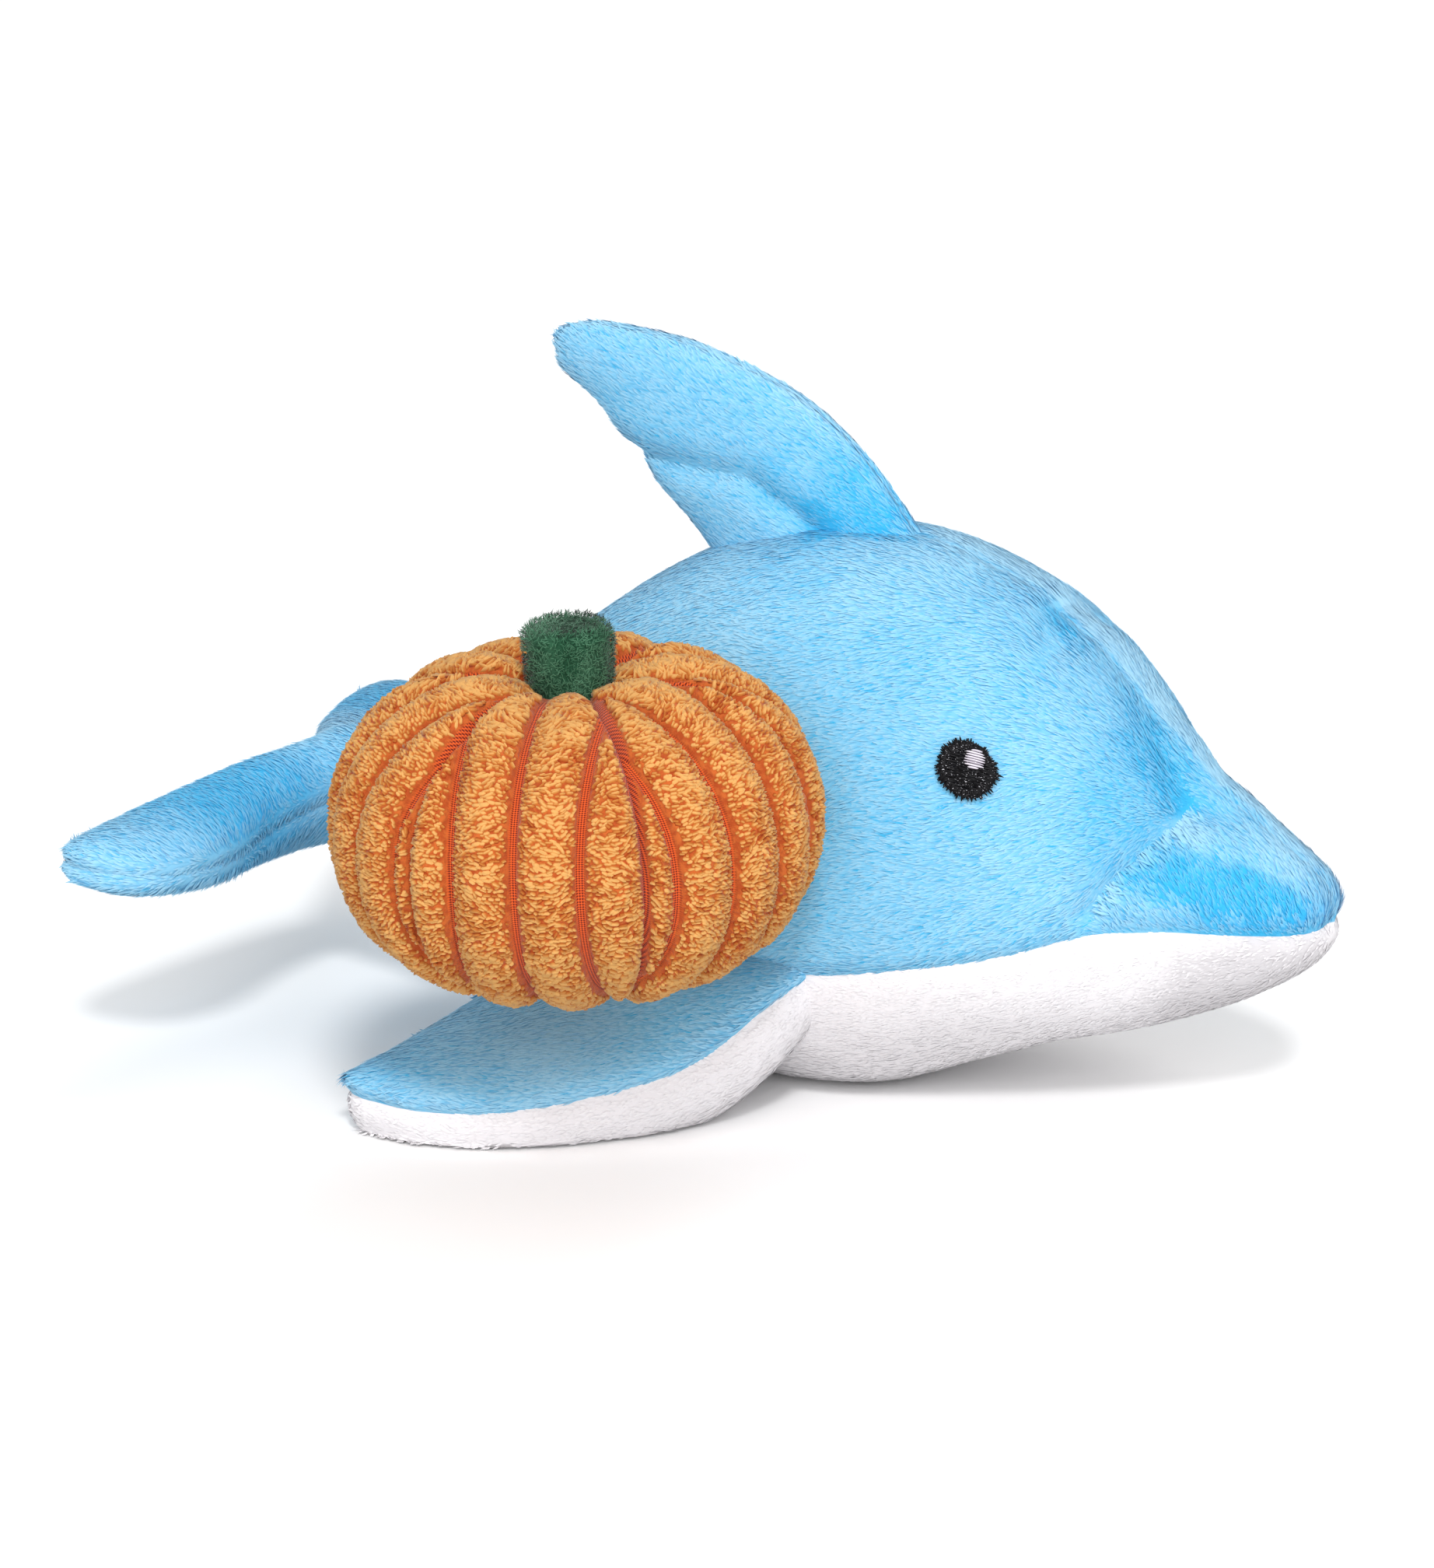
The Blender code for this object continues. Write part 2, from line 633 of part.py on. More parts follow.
def build_stem(pumpkin, under):
    """A padded green cylinder, standing on the filling inside the ring of gores."""
    dimple = [pumpkin.under(math.radians(degrees), 0.0, under) for degrees in range(45, 90)]
    seat = max(spot[2] for spot in dimple if spot[0] < STEM_TIP_RADIUS) + CLEARANCE
    rim = pumpkin.meridian(pumpkin.latitude_of(STEM_RADIUS, 1.0))[1]
    tall = rim + STEM_ABOVE - seat
    bm = bmesh.new()
    bmesh.ops.create_cone(bm, cap_ends=True, segments=STEM_STEPS, radius1=STEM_RADIUS - CLEARANCE,
                          radius2=STEM_TIP_RADIUS, depth=tall)
    ends = [edge for edge in bm.edges if abs(edge.verts[0].co.z - edge.verts[1].co.z) < tall / 2]
    bmesh.ops.bevel(bm, geom=ends, offset=STEM_ROUNDING, segments=2, profile=0.5, affect="EDGES")
    bmesh.ops.translate(bm, verts=bm.verts, vec=(0.0, 0.0, seat + tall / 2))
    bmesh.ops.transform(bm, matrix=pumpkin.frame, verts=bm.verts)
    finish_mesh("pumpkin_stem", bm, GREEN)


def build():
    clear_scene()
    body = Body()
    cutter = build_body(body)
    dorsal = Fin(DORSAL_RIBS, (0.0, -1.0, 0.0), path=DORSAL_FOLD)
    build_fin(("dorsal_fin_right", "dorsal_fin_left", "dorsal_fin_stuffing"), (BLUE, BLUE), dorsal, cutter)
    for word, side in (("right", 1.0), ("left", -1.0)):
        flipper = Fin(FLIPPER_RIBS, (0.0, -0.2, 1.0), side)
        names = tuple(f"flipper_{word}_{part}" for part in ("top", "underside", "stuffing"))
        build_fin(names, (BLUE, WHITE), flipper, cutter)
    build_flukes(cutter)
    build_eyes(body)
    build_pumpkin(body)


build()
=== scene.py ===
"""Looks of a plush dolphin that has a small plush pumpkin sewn to its right side.

Each cut piece of fabric is a fine grid on the same lofted form as its solid: a cloth backing, and on it a
pile of short blades that lie along the nap, with a row of taller ones ahead of the crease behind the snout.
The pumpkin's ribs carry rows of chenille kernels, with a woven ground in the grooves. The eyes are satin
stitch, thread by thread.
"""
from __future__ import annotations

import logging
import math
from dataclasses import dataclass, field
from enum import Enum
from typing import Callable, NamedTuple, Sequence

import bpy
import numpy as np
from mathutils import Matrix, Vector

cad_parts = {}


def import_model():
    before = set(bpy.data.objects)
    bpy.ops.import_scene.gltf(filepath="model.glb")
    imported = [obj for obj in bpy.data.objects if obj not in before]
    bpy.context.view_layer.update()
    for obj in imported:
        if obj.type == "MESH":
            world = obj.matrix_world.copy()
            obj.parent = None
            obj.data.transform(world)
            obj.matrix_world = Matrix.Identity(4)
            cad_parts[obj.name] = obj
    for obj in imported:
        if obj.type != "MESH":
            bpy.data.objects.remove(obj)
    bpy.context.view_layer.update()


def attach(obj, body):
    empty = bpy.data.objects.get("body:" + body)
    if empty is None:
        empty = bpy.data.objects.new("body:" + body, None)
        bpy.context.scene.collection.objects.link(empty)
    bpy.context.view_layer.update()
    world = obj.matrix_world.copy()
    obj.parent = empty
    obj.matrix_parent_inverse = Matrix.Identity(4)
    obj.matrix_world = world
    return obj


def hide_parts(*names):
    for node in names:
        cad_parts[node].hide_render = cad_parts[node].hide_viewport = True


Array = np.ndarray
Spots = dict[str, Array]
Angles = Callable[[Array], Array]
Nap = Callable[[Spots], Array]
Place = tuple[float, float, float]
Colour = tuple[float, float, float]
LOG = logging.getLogger("plush_dolphin")
BAKE_MAP = "OFBake"
FLOOR_ROOM = 0.0002
# Where the cloth sits on the pile's colour ramp, between the painted shade at the roots and the painted sheen at
# the tips
CLOTH_REACH = 0.5


class Cut(NamedTuple):
    """One cut across the body: its place, the heights of its outline and half its width."""

    x: float
    top: float
    bottom: float
    half_width: float
    widest: float
    seam: float


class Rib(NamedTuple):
    """One cut across a fin: its two edges, and how far it swells to each side."""

    leading: Place
    trailing: Place
    rise: float
    drop: float


class Tuft(Enum):
    """Shapes of a tuft of pile."""

    BLADE = "blade"
    NUB = "nub"


# Small helpers


def unit(vectors: Array) -> Array:
    """Vectors of length one along the last axis."""
    return vectors / np.maximum(np.linalg.norm(vectors, axis=-1, keepdims=True), 1e-12)


def signed_power(value: Array, power: Array | float) -> Array:
    """Power of the size of a value, with its sign kept."""
    return np.sign(value) * np.abs(value) ** power


def falloff(distance: Array, reach: float) -> Array:
    """1 on a seam or fold, easing to 0 at its reach."""
    return np.maximum(0.0, 1.0 - distance / reach) ** 2


def smooth_step(value: Array, low: float, high: float) -> Array:
    """0 below low, 1 above high and smooth between them."""
    share = np.clip((value - low) / (high - low), 0.0, 1.0)
    return share * share * (3.0 - 2.0 * share)


def through(rows: Array, position: Array) -> Array:
    """Points on the smooth curve through the rows.

    Args:
        rows: one row of numbers for each station.
        position: places from 0 at the first row to 1 at the last.

    Returns:
        The numbers at each place, along a new last axis.
    """
    last = len(rows) - 1
    along = np.clip(position, 0.0, 1.0) * last
    start = np.minimum(along.astype(int), last - 1)
    t = (along - start)[..., None]
    before, here, there, after = (rows[np.clip(start + k, 0, last)] for k in (-1, 0, 1, 2))
    return 0.5 * (
        2 * here
        + (there - before) * t
        + (2 * before - 5 * here + 4 * there - after) * t**2
        + (3 * here - before - 3 * there + after) * t**3
    )


def distance_to_path(points: Array, path: Sequence[Sequence[float]]) -> Array:
    """Distance from each point to a line of points, in as many dimensions as the path has.

    Args:
        points: the places, one along each last axis.
        path: the corners of the line.
    """
    nearest = np.full(points.shape[:-1], np.inf)
    for start, end in zip(path, path[1:]):
        first, run = np.array(start), np.array(end) - np.array(start)
        share = np.clip(((points - first) @ run) / (run @ run), 0.0, 1.0)
        nearest = np.minimum(nearest, np.linalg.norm(points - first - share[..., None] * run, axis=-1))
    return nearest


class SmoothNoise:
    """Seeded noise that changes smoothly through space."""

    def __init__(self, seed: int) -> None:
        """Fills the table of random numbers."""
        self.size = 24
        self.table = np.random.default_rng(seed).random((self.size,) * 3)

    def at(self, points: Array, cell: float) -> Array:
        """Noise from -1 to 1 at each point, with bumps of about one cell."""
        scaled = points / cell
        base = np.floor(scaled).astype(int)
        part = scaled - base
        part = part * part * (3 - 2 * part)
        total = np.zeros(points.shape[:-1])
        for corner in np.ndindex(2, 2, 2):
            weight = np.prod(np.where(corner, part, 1 - part), axis=-1)
            index = (base + np.array(corner)) % self.size
            total += weight * self.table[index[..., 0], index[..., 1], index[..., 2]]
        return total * 2.0 - 1.0


NOISE = SmoothNoise(11)
WARP = SmoothNoise(23)


# Sizes that the forms share with the solids


@dataclass(frozen=True)
class Sewing:
    """How the seams and folds pull the fabric in.

    Args:
        fullness: power of the round cuts. At 1 they are ellipses, and less makes them fuller.
        back_fullness: the same for the back.
        seam_depth: how deep a seam lies.
        seam_reach: how far to each side it pulls.
        fold_depth: how deep the fold of the back fin lies.
        fold_reach: how far to each side it pulls.
        sink: how far the cloth lies under the tips of its pile.
    """

    fullness: float = 0.92
    back_fullness: float = 1.0
    seam_depth: float = 0.0011
    seam_reach: float = 0.0045
    fold_depth: float = 0.0022
    fold_reach: float = 0.0065
    sink: float = 0.0008


SEWING = Sewing()
BODY_CUTS = (
    Cut(-0.1060, 0.0460, 0.0420, 0.0015, 0.0440, 0.0420),
    Cut(-0.1035, 0.0510, 0.0370, 0.0095, 0.0445, 0.0370),
    Cut(-0.0950, 0.0560, 0.0315, 0.0165, 0.0450, 0.0315),
    Cut(-0.0760, 0.0650, 0.0230, 0.0225, 0.0460, 0.0230),
    Cut(-0.0520, 0.0790, 0.0110, 0.0310, 0.0470, 0.0135),
    Cut(-0.0280, 0.0955, 0.0020, 0.0400, 0.0480, 0.0240),
    Cut(-0.0040, 0.1045, -0.0028, 0.0458, 0.0480, 0.0285),
    Cut(0.0180, 0.1055, -0.0020, 0.0466, 0.0480, 0.0288),
    Cut(0.0380, 0.0998, 0.0050, 0.0445, 0.0480, 0.0322),
    Cut(0.0530, 0.0912, 0.0103, 0.0402, 0.0480, 0.0352),
    Cut(0.0660, 0.0778, 0.0138, 0.0330, 0.0465, 0.0390),
    Cut(0.0780, 0.0621, 0.0175, 0.0242, 0.0430, 0.0393),
    Cut(0.0900, 0.0559, 0.0228, 0.0183, 0.0410, 0.0385),
    Cut(0.0995, 0.0492, 0.0290, 0.0128, 0.0400, 0.0380),
    Cut(0.1035, 0.0445, 0.0335, 0.0070, 0.0395, 0.0380),
    Cut(0.1046, 0.0410, 0.0375, 0.0015, 0.0393, 0.0385),
)
BELLY_END = -0.0560
DORSAL_RIBS = (
    Rib((0.0300, 0.0, 0.0920), (-0.0140, 0.0, 0.0860), 0.0085, 0.0085),
    Rib((0.0198, 0.0, 0.1068), (-0.0250, 0.0, 0.1005), 0.0085, 0.0085),
    Rib((0.0090, 0.0, 0.1200), (-0.0368, 0.0, 0.1120), 0.0078, 0.0078),
    Rib((-0.0050, 0.0, 0.1303), (-0.0458, 0.0, 0.1230), 0.0068, 0.0068),
    Rib((-0.0230, 0.0, 0.1372), (-0.0534, 0.0, 0.1290), 0.0062, 0.0062),
    Rib((-0.0390, 0.0, 0.1401), (-0.0550, 0.0, 0.1335), 0.0052, 0.0052),
    Rib((-0.0462, 0.0, 0.1404), (-0.0549, 0.0, 0.1363), 0.0038, 0.0038),
    Rib((-0.0504, 0.0, 0.1399), (-0.0535, 0.0, 0.1384), 0.0017, 0.0017),
)
DORSAL_FOLD = ((-0.0380, 0.1140), (-0.0120, 0.1130), (0.0050, 0.1030))
FLIPPER_RIBS = (
    Rib((0.0220, -0.0260, 0.0320), (-0.0360, -0.0160, 0.0300), 0.0070, 0.0140),
    Rib((0.0140, -0.0490, 0.0258), (-0.0420, -0.0350, 0.0245), 0.0080, 0.0270),
    Rib((0.0010, -0.0605, 0.0142), (-0.0500, -0.0480, 0.0170), 0.0085, 0.0235),
    Rib((-0.0145, -0.0730, 0.0096), (-0.0550, -0.0580, 0.0130), 0.0080, 0.0200),
    Rib((-0.0295, -0.0815, 0.0074), (-0.0585, -0.0660, 0.0105), 0.0072, 0.0175),
    Rib((-0.0435, -0.0845, 0.0069), (-0.0605, -0.0715, 0.0090), 0.0064, 0.0135),
    Rib((-0.0545, -0.0835, 0.0073), (-0.0618, -0.0760, 0.0080), 0.0050, 0.0085),
    Rib((-0.0582, -0.0822, 0.0074), (-0.0618, -0.0780, 0.0078), 0.0036, 0.0058),
    Rib((-0.0598, -0.0812, 0.0075), (-0.0614, -0.0790, 0.0077), 0.0017, 0.0022),
)
FLUKE_RIBS = (
    Rib((-0.0900, 0.0, 0.0450), (-0.1080, 0.0, 0.0490), 0.0085, 0.0150),
    Rib((-0.0965, -0.0150, 0.0430), (-0.1120, -0.0085, 0.0485), 0.0085, 0.0145),
    Rib((-0.0990, -0.0300, 0.0420), (-0.1170, -0.0200, 0.0470), 0.0083, 0.0120),
    Rib((-0.0985, -0.0450, 0.0410), (-0.1215, -0.0340, 0.0455), 0.0080, 0.0092),
    Rib((-0.1000, -0.0580, 0.0410), (-0.1255, -0.0480, 0.0440), 0.0076, 0.0078),
    Rib((-0.1055, -0.0680, 0.0415), (-0.1278, -0.0590, 0.0430), 0.0066, 0.0066),
    Rib((-0.1145, -0.0720, 0.0420), (-0.1278, -0.0650, 0.0432), 0.0050, 0.0050),
    Rib((-0.1190, -0.0722, 0.0422), (-0.1268, -0.0682, 0.0430), 0.0037, 0.0037),
    Rib((-0.1220, -0.0716, 0.0425), (-0.1250, -0.0700, 0.0428), 0.0017, 0.0017),
)
FLUKE_TURN = math.radians(2.0)


# Forms


class SewnForm:
    """A rounded form: u runs along it from 0 to 1, and an angle in radians once round it."""

    outward: float = 1.0
    pulls: tuple[float, ...] = (0.8, 0.8, 0.8)

    def point(self, u: Array, angle: Array) -> Array:
        """Points of the smooth form."""
        raise NotImplementedError

    def seams(self, u: Array) -> list[Array]:
        """The angles of the seams at each u."""
        raise NotImplementedError

    def fold(self, points: Array) -> Array:
        """How far folds press the form in at each point."""
        return np.zeros(points.shape[:-1])

    def normal(self, u: Array, angle: Array) -> Array:
        """Outward directions of the smooth form."""
        du, da = 0.004, math.radians(0.5)
        along = self.point(np.minimum(u + du, 1.0), angle) - self.point(np.maximum(u - du, 0.0), angle)
        across = self.point(u, angle + da) - self.point(u, angle - da)
        return unit(np.cross(along, across)) * self.outward

    def at(self, u: Array, angle: Array, depth: float) -> Array:
        """Points at this depth under the sewn fabric, which seams and folds pull in."""
        points = self.point(u, angle)
        pulled = np.max([pull * falloff(np.linalg.norm(points - self.point(u, seam), axis=-1),
                                        SEWING.seam_reach)
                         for pull, seam in zip(self.pulls, self.seams(u))], axis=0)
        pulled = SEWING.seam_depth * pulled + self.fold(points)
        made = points - self.normal(u, angle) * (depth + pulled)[..., None]
        made[..., 2] = np.maximum(made[..., 2], FLOOR_ROOM)
        return made


class TrunkForm(SewnForm):
    """Head, trunk and tail. The angle runs from the back down the right flank to the belly and up again."""

    outward = -1.0
    pulls = (0.35, 1.0, 1.0)
    # Lines on the right flank, in x and z: the crease behind the snout, the tuck on the forehead, and the
    # notch between forehead and snout
    snout_crease = ((0.0801, 0.0640), (0.0793, 0.0589), (0.0772, 0.0562), (0.0746, 0.0532), (0.0719, 0.0500),
                    (0.0699, 0.0466), (0.0684, 0.0440))
    forehead_tuck = ((0.0500, 0.0935), (0.0545, 0.0880))
    notch = ((0.0750, 0.0665), (0.0815, 0.0605))
    crease_depth, crease_reach = 0.0024, 0.0070
    notch_fill, notch_reach = 0.0022, 0.0120
    tuck_depth, tuck_reach = 0.0009, 0.0050
    flat_below = 0.004

    def __init__(self) -> None:
        """Reads the cuts."""
        self.rows = np.array(BODY_CUTS)
        self.places = np.linspace(0.0, 1.0, 400)
        self.reaches = through(self.rows, self.places)[:, 0]

    def point(self, u: Array, angle: Array) -> Array:
        """Points of the smooth body."""
        x, top, bottom, half_width, widest, _ = np.moveaxis(through(self.rows, u), -1, 0)
        rise, side = np.cos(angle), np.sin(angle)
        reach = np.where(rise > 0, top - widest, widest - bottom)
        y = -half_width * signed_power(side, SEWING.fullness)
        power = np.where(rise > 0, SEWING.back_fullness, SEWING.fullness)
        z = widest + reach * signed_power(rise, power)
        x, y, z = np.broadcast_arrays(x, y, np.maximum(z, 0.0))
        return np.stack((x, y, z), axis=-1)

    def side_seam(self, u: Array) -> Array:
        """Angle of the seam between the blue right side and the white belly."""
        _, top, bottom, _, widest, seam = np.moveaxis(through(self.rows, u), -1, 0)
        return self._angle(seam, top, bottom, widest)

    def _angle(self, height: Array, top: Array, bottom: Array, widest: Array) -> Array:
        """Angle on the right flank where a cut reaches a height."""
        above = height > widest
        reach = np.where(above, top - widest, widest - bottom)
        power = np.where(above, SEWING.back_fullness, SEWING.fullness)
        share = np.clip((height - widest) / reach, -1.0, 1.0)
        return np.arccos(signed_power(share, 1.0 / power))

    def seams(self, u: Array) -> list[Array]:
        """The seam along the back and the two beside the belly."""
        side = self.side_seam(u)
        return [np.zeros_like(u), side, 2 * math.pi - side]

    def u_at(self, x: Array) -> Array:
        """Places along the body of the cuts at these x."""
        return np.interp(x, self.reaches, self.places)

    def on_flank(self, x: Array, z: Array) -> tuple[Array, Array]:
        """u and angle of the right flank at x and z."""
        u = self.u_at(x)
        _, top, bottom, _, widest, _ = np.moveaxis(through(self.rows, u), -1, 0)
        return u, self._angle(z, top, bottom, widest)

    def flank(self, x: Array, z: Array) -> Array:
        """Half the body's width at x and z."""
        return -self.point(*self.on_flank(x, z))[..., 1]

    def fold(self, points: Array) -> Array:
        """The crease, the tuck and the uneven filling. On the top and left the notch is filled instead."""
        spots, y = points[..., [0, 2]], points[..., 1]
        aside = smooth_step(np.abs(y), 0.0015, 0.0110)
        crease = self.crease_depth * aside * falloff(distance_to_path(spots, self.snout_crease),
                                                     self.crease_reach)
        filled = smooth_step(y, -0.0060, 0.0020) * (1.0 - smooth_step(y, 0.0080, 0.0180))
        near_notch = 1.0 - smooth_step(distance_to_path(spots, self.notch), 0.0, self.notch_reach)
        crease = crease * (1.0 - filled) - self.notch_fill * filled * near_notch
        tuck = self.tuck_depth * falloff(distance_to_path(spots, self.forehead_tuck), self.tuck_reach)
        lumps = 0.00035 * NOISE.at(points, 0.021) + 0.00018 * WARP.at(points, 0.009)
        return np.where(points[..., 2] > self.flat_below, crease + tuck + lumps, 0.0)

    def holds(self, points: Array, room: float) -> Array:
        """Which points lie inside the body, deeper than room."""
        u = self.u_at(points[..., 0])
        x, top, bottom, half_width, widest, _ = np.moveaxis(through(self.rows, u), -1, 0)
        above = points[..., 2] > widest
        reach = np.where(above, top - widest, widest - bottom) - room
        power = np.where(above, SEWING.back_fullness, SEWING.fullness)
        tall = np.abs(points[..., 2] - widest) / np.maximum(reach, 1e-6)
        wide = np.abs(points[..., 1]) / np.maximum(half_width - room, 1e-6)
        inside = tall ** (2 / power) + wide ** (2 / SEWING.fullness) < 1.0
        return inside & (points[..., 0] > self.reaches[0]) & (points[..., 0] < self.reaches[-1])


class FinForm(SewnForm):
    """A flat padded fin.

    Angle 0 is its leading edge, a quarter turn its first side and a half turn its trailing edge.
    """

    flat_below = 0.004

    def __init__(self, ribs: Sequence[Rib], first_side: Place, side: float = 1.0,
                 path: Sequence[tuple[float, float]] | None = None) -> None:
        """Reads the ribs.

        Args:
            ribs: the cuts from root to tip.
            first_side: the way that the first side faces.
            side: 1, or -1 for a fin that mirrors the ribs.
            path: line of the fold, in x and z, where the fin has one.
        """
        flip = np.array((1.0, side, 1.0))
        self.rows = np.array([[*np.multiply(rib.leading, flip), *np.multiply(rib.trailing, flip),
                               rib.rise, rib.drop] for rib in ribs])
        self.first_side = np.multiply(first_side, flip)
        self.path = path
        probe = 2
        u, quarter = np.array([probe / (len(ribs) - 1)]), np.array([math.pi / 2])
        centre = (self.rows[probe, :3] + self.rows[probe, 3:6]) / 2
        if (self.normal(u, quarter) @ (self.point(u, quarter)[0] - centre))[0] < 0:
            self.outward = -1.0

    def point(self, u: Array, angle: Array) -> Array:
        """Points of the smooth fin."""
        row = through(self.rows, u)
        leading, trailing, rise, drop = row[..., :3], row[..., 3:6], row[..., 6], row[..., 7]
        chord = (leading - trailing) / 2
        along = unit(chord)
        up = unit(self.first_side - np.sum(self.first_side * along, axis=-1, keepdims=True) * along)
        side = np.sin(angle)
        swell = np.where(side > 0, rise, drop) * signed_power(side, SEWING.fullness)
        points = (leading + trailing) / 2 + chord * np.cos(angle)[..., None] + up * swell[..., None]
        points[..., 2] = np.maximum(points[..., 2], 0.0)
        return points

    def seams(self, u: Array) -> list[Array]:
        """The seams along both edges."""
        return [np.zeros_like(u), np.full_like(u, math.pi), np.full_like(u, 2 * math.pi)]

    def fold(self, points: Array) -> Array:
        """The fold of the back fin, where there is one, and the filling's unevenness."""
        lumps = 0.00025 * NOISE.at(points, 0.013)
        if self.path is not None:
            near = distance_to_path(points[..., [0, 2]], self.path)
            lumps = lumps + SEWING.fold_depth * falloff(near, SEWING.fold_reach)
        return np.where(points[..., 2] > self.flat_below, lumps, 0.0)


# Grids of fabric and their pile


@dataclass
class Fabric:
    """A grid of points over one cut piece of fabric.

    Args:
        points: rows by columns by three.
        side: 1 or -1, so that the normals point out of the toy.
        values: numbers at each point by name, which its materials read.
    """

    points: Array
    side: float
    values: dict[str, Array] = field(default_factory=dict)

    course_shift = (0.22, 0.16)

    def __post_init__(self) -> None:
        """Works out directions and sizes from the points."""
        down = np.gradient(self.points, axis=0)
        across = np.gradient(self.points, axis=1)
        self.along = unit(down)
        self.normals = unit(np.cross(down, across)) * self.side

    def faces(self) -> Array:
        """Four corners of each square, turned to face outward."""
        rows, columns = self.points.shape[:2]
        index = np.arange(rows * columns).reshape(rows, columns)
        corners = [index[:-1, :-1], index[1:, :-1], index[1:, 1:], index[:-1, 1:]]
        quads = np.stack(corners, axis=-1).reshape(-1, 4)
        return quads if self.side > 0 else quads[:, ::-1]

    def areas(self) -> Array:
        """Area of each square."""
        p = self.points
        cross = np.cross(p[1:, 1:] - p[:-1, :-1], p[1:, :-1] - p[:-1, 1:])
        return np.linalg.norm(cross, axis=-1) / 2

    def sample(self, rows: Array, columns: Array) -> Spots:
        """Everything that the fabric carries at places on its grid.

        Args:
            rows: places down the grid, counted in rows.
            columns: places across it, counted in columns.

        Returns:
            "points", "normals" and "along" at each place, its share of the grid under "grid", and each
            value by name.
        """
        last = np.array(self.points.shape[:2]) - 1
        rows, columns = np.clip(rows, 0, last[0] - 1e-6), np.clip(columns, 0, last[1] - 1e-6)
        i, j = rows.astype(int), columns.astype(int)
        fi, fj = rows - i, columns - j
        weights = ((1 - fi) * (1 - fj), fi * (1 - fj), fi * fj, (1 - fi) * fj)
        corners = ((i, j), (i + 1, j), (i + 1, j + 1), (i, j + 1))

        def mixed(values: Array) -> Array:
            """Values at each place, from the four corners of its square."""
            shape = (-1,) + (1,) * (values.ndim - 2)
            return sum(w.reshape(shape) * values[c] for w, c in zip(weights, corners))

        made = {"points": mixed(self.points), "normals": unit(mixed(self.normals)),
                "along": unit(mixed(self.along)),
                "grid": np.stack((rows / last[0], columns / last[1]), axis=-1)}
        made.update({name: mixed(values) for name, values in self.values.items()})
        return made

    def scatter(self, density: float, rng: np.random.Generator) -> Spots:
        """Samples random places over the fabric, so many for each square metre."""
        areas = self.areas()
        count = int(areas.sum() * density)
        cell = rng.choice(areas.size, size=count, p=(areas / areas.sum()).ravel())
        i, j = np.divmod(cell, areas.shape[1])
        return self.sample(i + rng.random(count), j + rng.random(count))

    def courses(self, pitch: tuple[float, float], rng: np.random.Generator) -> Spots:
        """Samples places in staggered rows across the fabric, as loops of yarn stand in.

        Args:
            pitch: spacing of the rows, and of the places along a row, in metres.
            rng: the seeded source of chance.

        Returns:
            What sample gives.
        """
        down_shift, across_shift = self.course_shift
        steps = np.linalg.norm(np.diff(self.points, axis=0), axis=-1).mean(axis=1)
        down = np.concatenate(([0.0], np.cumsum(steps)))
        rows, columns = [], []
        for number, reach in enumerate(np.arange(pitch[0] / 2, down[-1], pitch[0])):
            row = float(np.interp(reach, down, np.arange(len(down))))
            line, step = self.points[int(row)], steps[min(int(row), len(steps) - 1)]
            across = np.concatenate(([0.0], np.cumsum(np.linalg.norm(np.diff(line, axis=0), axis=-1))))
            places = np.arange(pitch[1] * (0.25 + 0.5 * (number % 2)), across[-1], pitch[1])
            places = places + rng.normal(0.0, across_shift * pitch[1], len(places))
            columns.append(np.interp(places, across, np.arange(len(across))))
            rows.append(row + rng.normal(0.0, down_shift, len(places)) * pitch[0] / step)
        return self.sample(np.concatenate(rows), np.concatenate(columns))


def mesh_object(name: str, verts: Array, faces: Array, uv: Array, values: dict[str, Array],
                normals: Array | None = None) -> bpy.types.Object:
    """Makes a smooth mesh object.

    Args:
        name: the piece's name.
        verts: its points.
        faces: corners of each face, all with as many.
        uv: a place in the bake map for each face's corners in turn.
        values: a number for each point, by name.
        normals: directions that each point is shaded by, where they aren't the mesh's own.

    Returns:
        The new object, linked to the scene.
    """
    mesh = bpy.data.meshes.new(name)
    mesh.vertices.add(len(verts))
    mesh.vertices.foreach_set("co", np.ascontiguousarray(verts, dtype=np.float32).ravel())
    mesh.loops.add(faces.size)
    mesh.loops.foreach_set("vertex_index", np.ascontiguousarray(faces, dtype=np.int32).ravel())
    mesh.polygons.add(len(faces))
    mesh.polygons.foreach_set("loop_start", np.arange(0, faces.size, faces.shape[1], dtype=np.int32))
    mesh.update(calc_edges=True)
    mesh.shade_smooth()
    layer = mesh.uv_layers.new(name=BAKE_MAP)
    layer.uv.foreach_set("vector", np.ascontiguousarray(uv, dtype=np.float32).ravel())
    for key, numbers in values.items():
        kept = mesh.attributes.new(key, "FLOAT", "POINT")
        kept.data.foreach_set("value", np.ascontiguousarray(numbers, dtype=np.float32).ravel())
    if normals is not None:
        mesh.normals_split_custom_set_from_vertices(normals.astype(np.float32))
    made = bpy.data.objects.new(name, mesh)
    bpy.context.scene.collection.objects.link(made)
    return made


def backing(name: str, fabric: Fabric) -> bpy.types.Object:
    """The cloth that carries the pile, as one grid."""
    rows, columns = fabric.points.shape[:2]
    faces = fabric.faces()
    sides = (np.linspace(0.01, 0.99, count) for count in (rows, columns))
    uv = np.stack(np.meshgrid(*sides, indexing="ij"), -1).reshape(-1, 2)
    values = {key: numbers.ravel() for key, numbers in fabric.values.items()}
    values["pile_reach"] = np.full(rows * columns, CLOTH_REACH)
    return mesh_object(name, fabric.points.reshape(-1, 3), faces, uv[faces.ravel()], values)


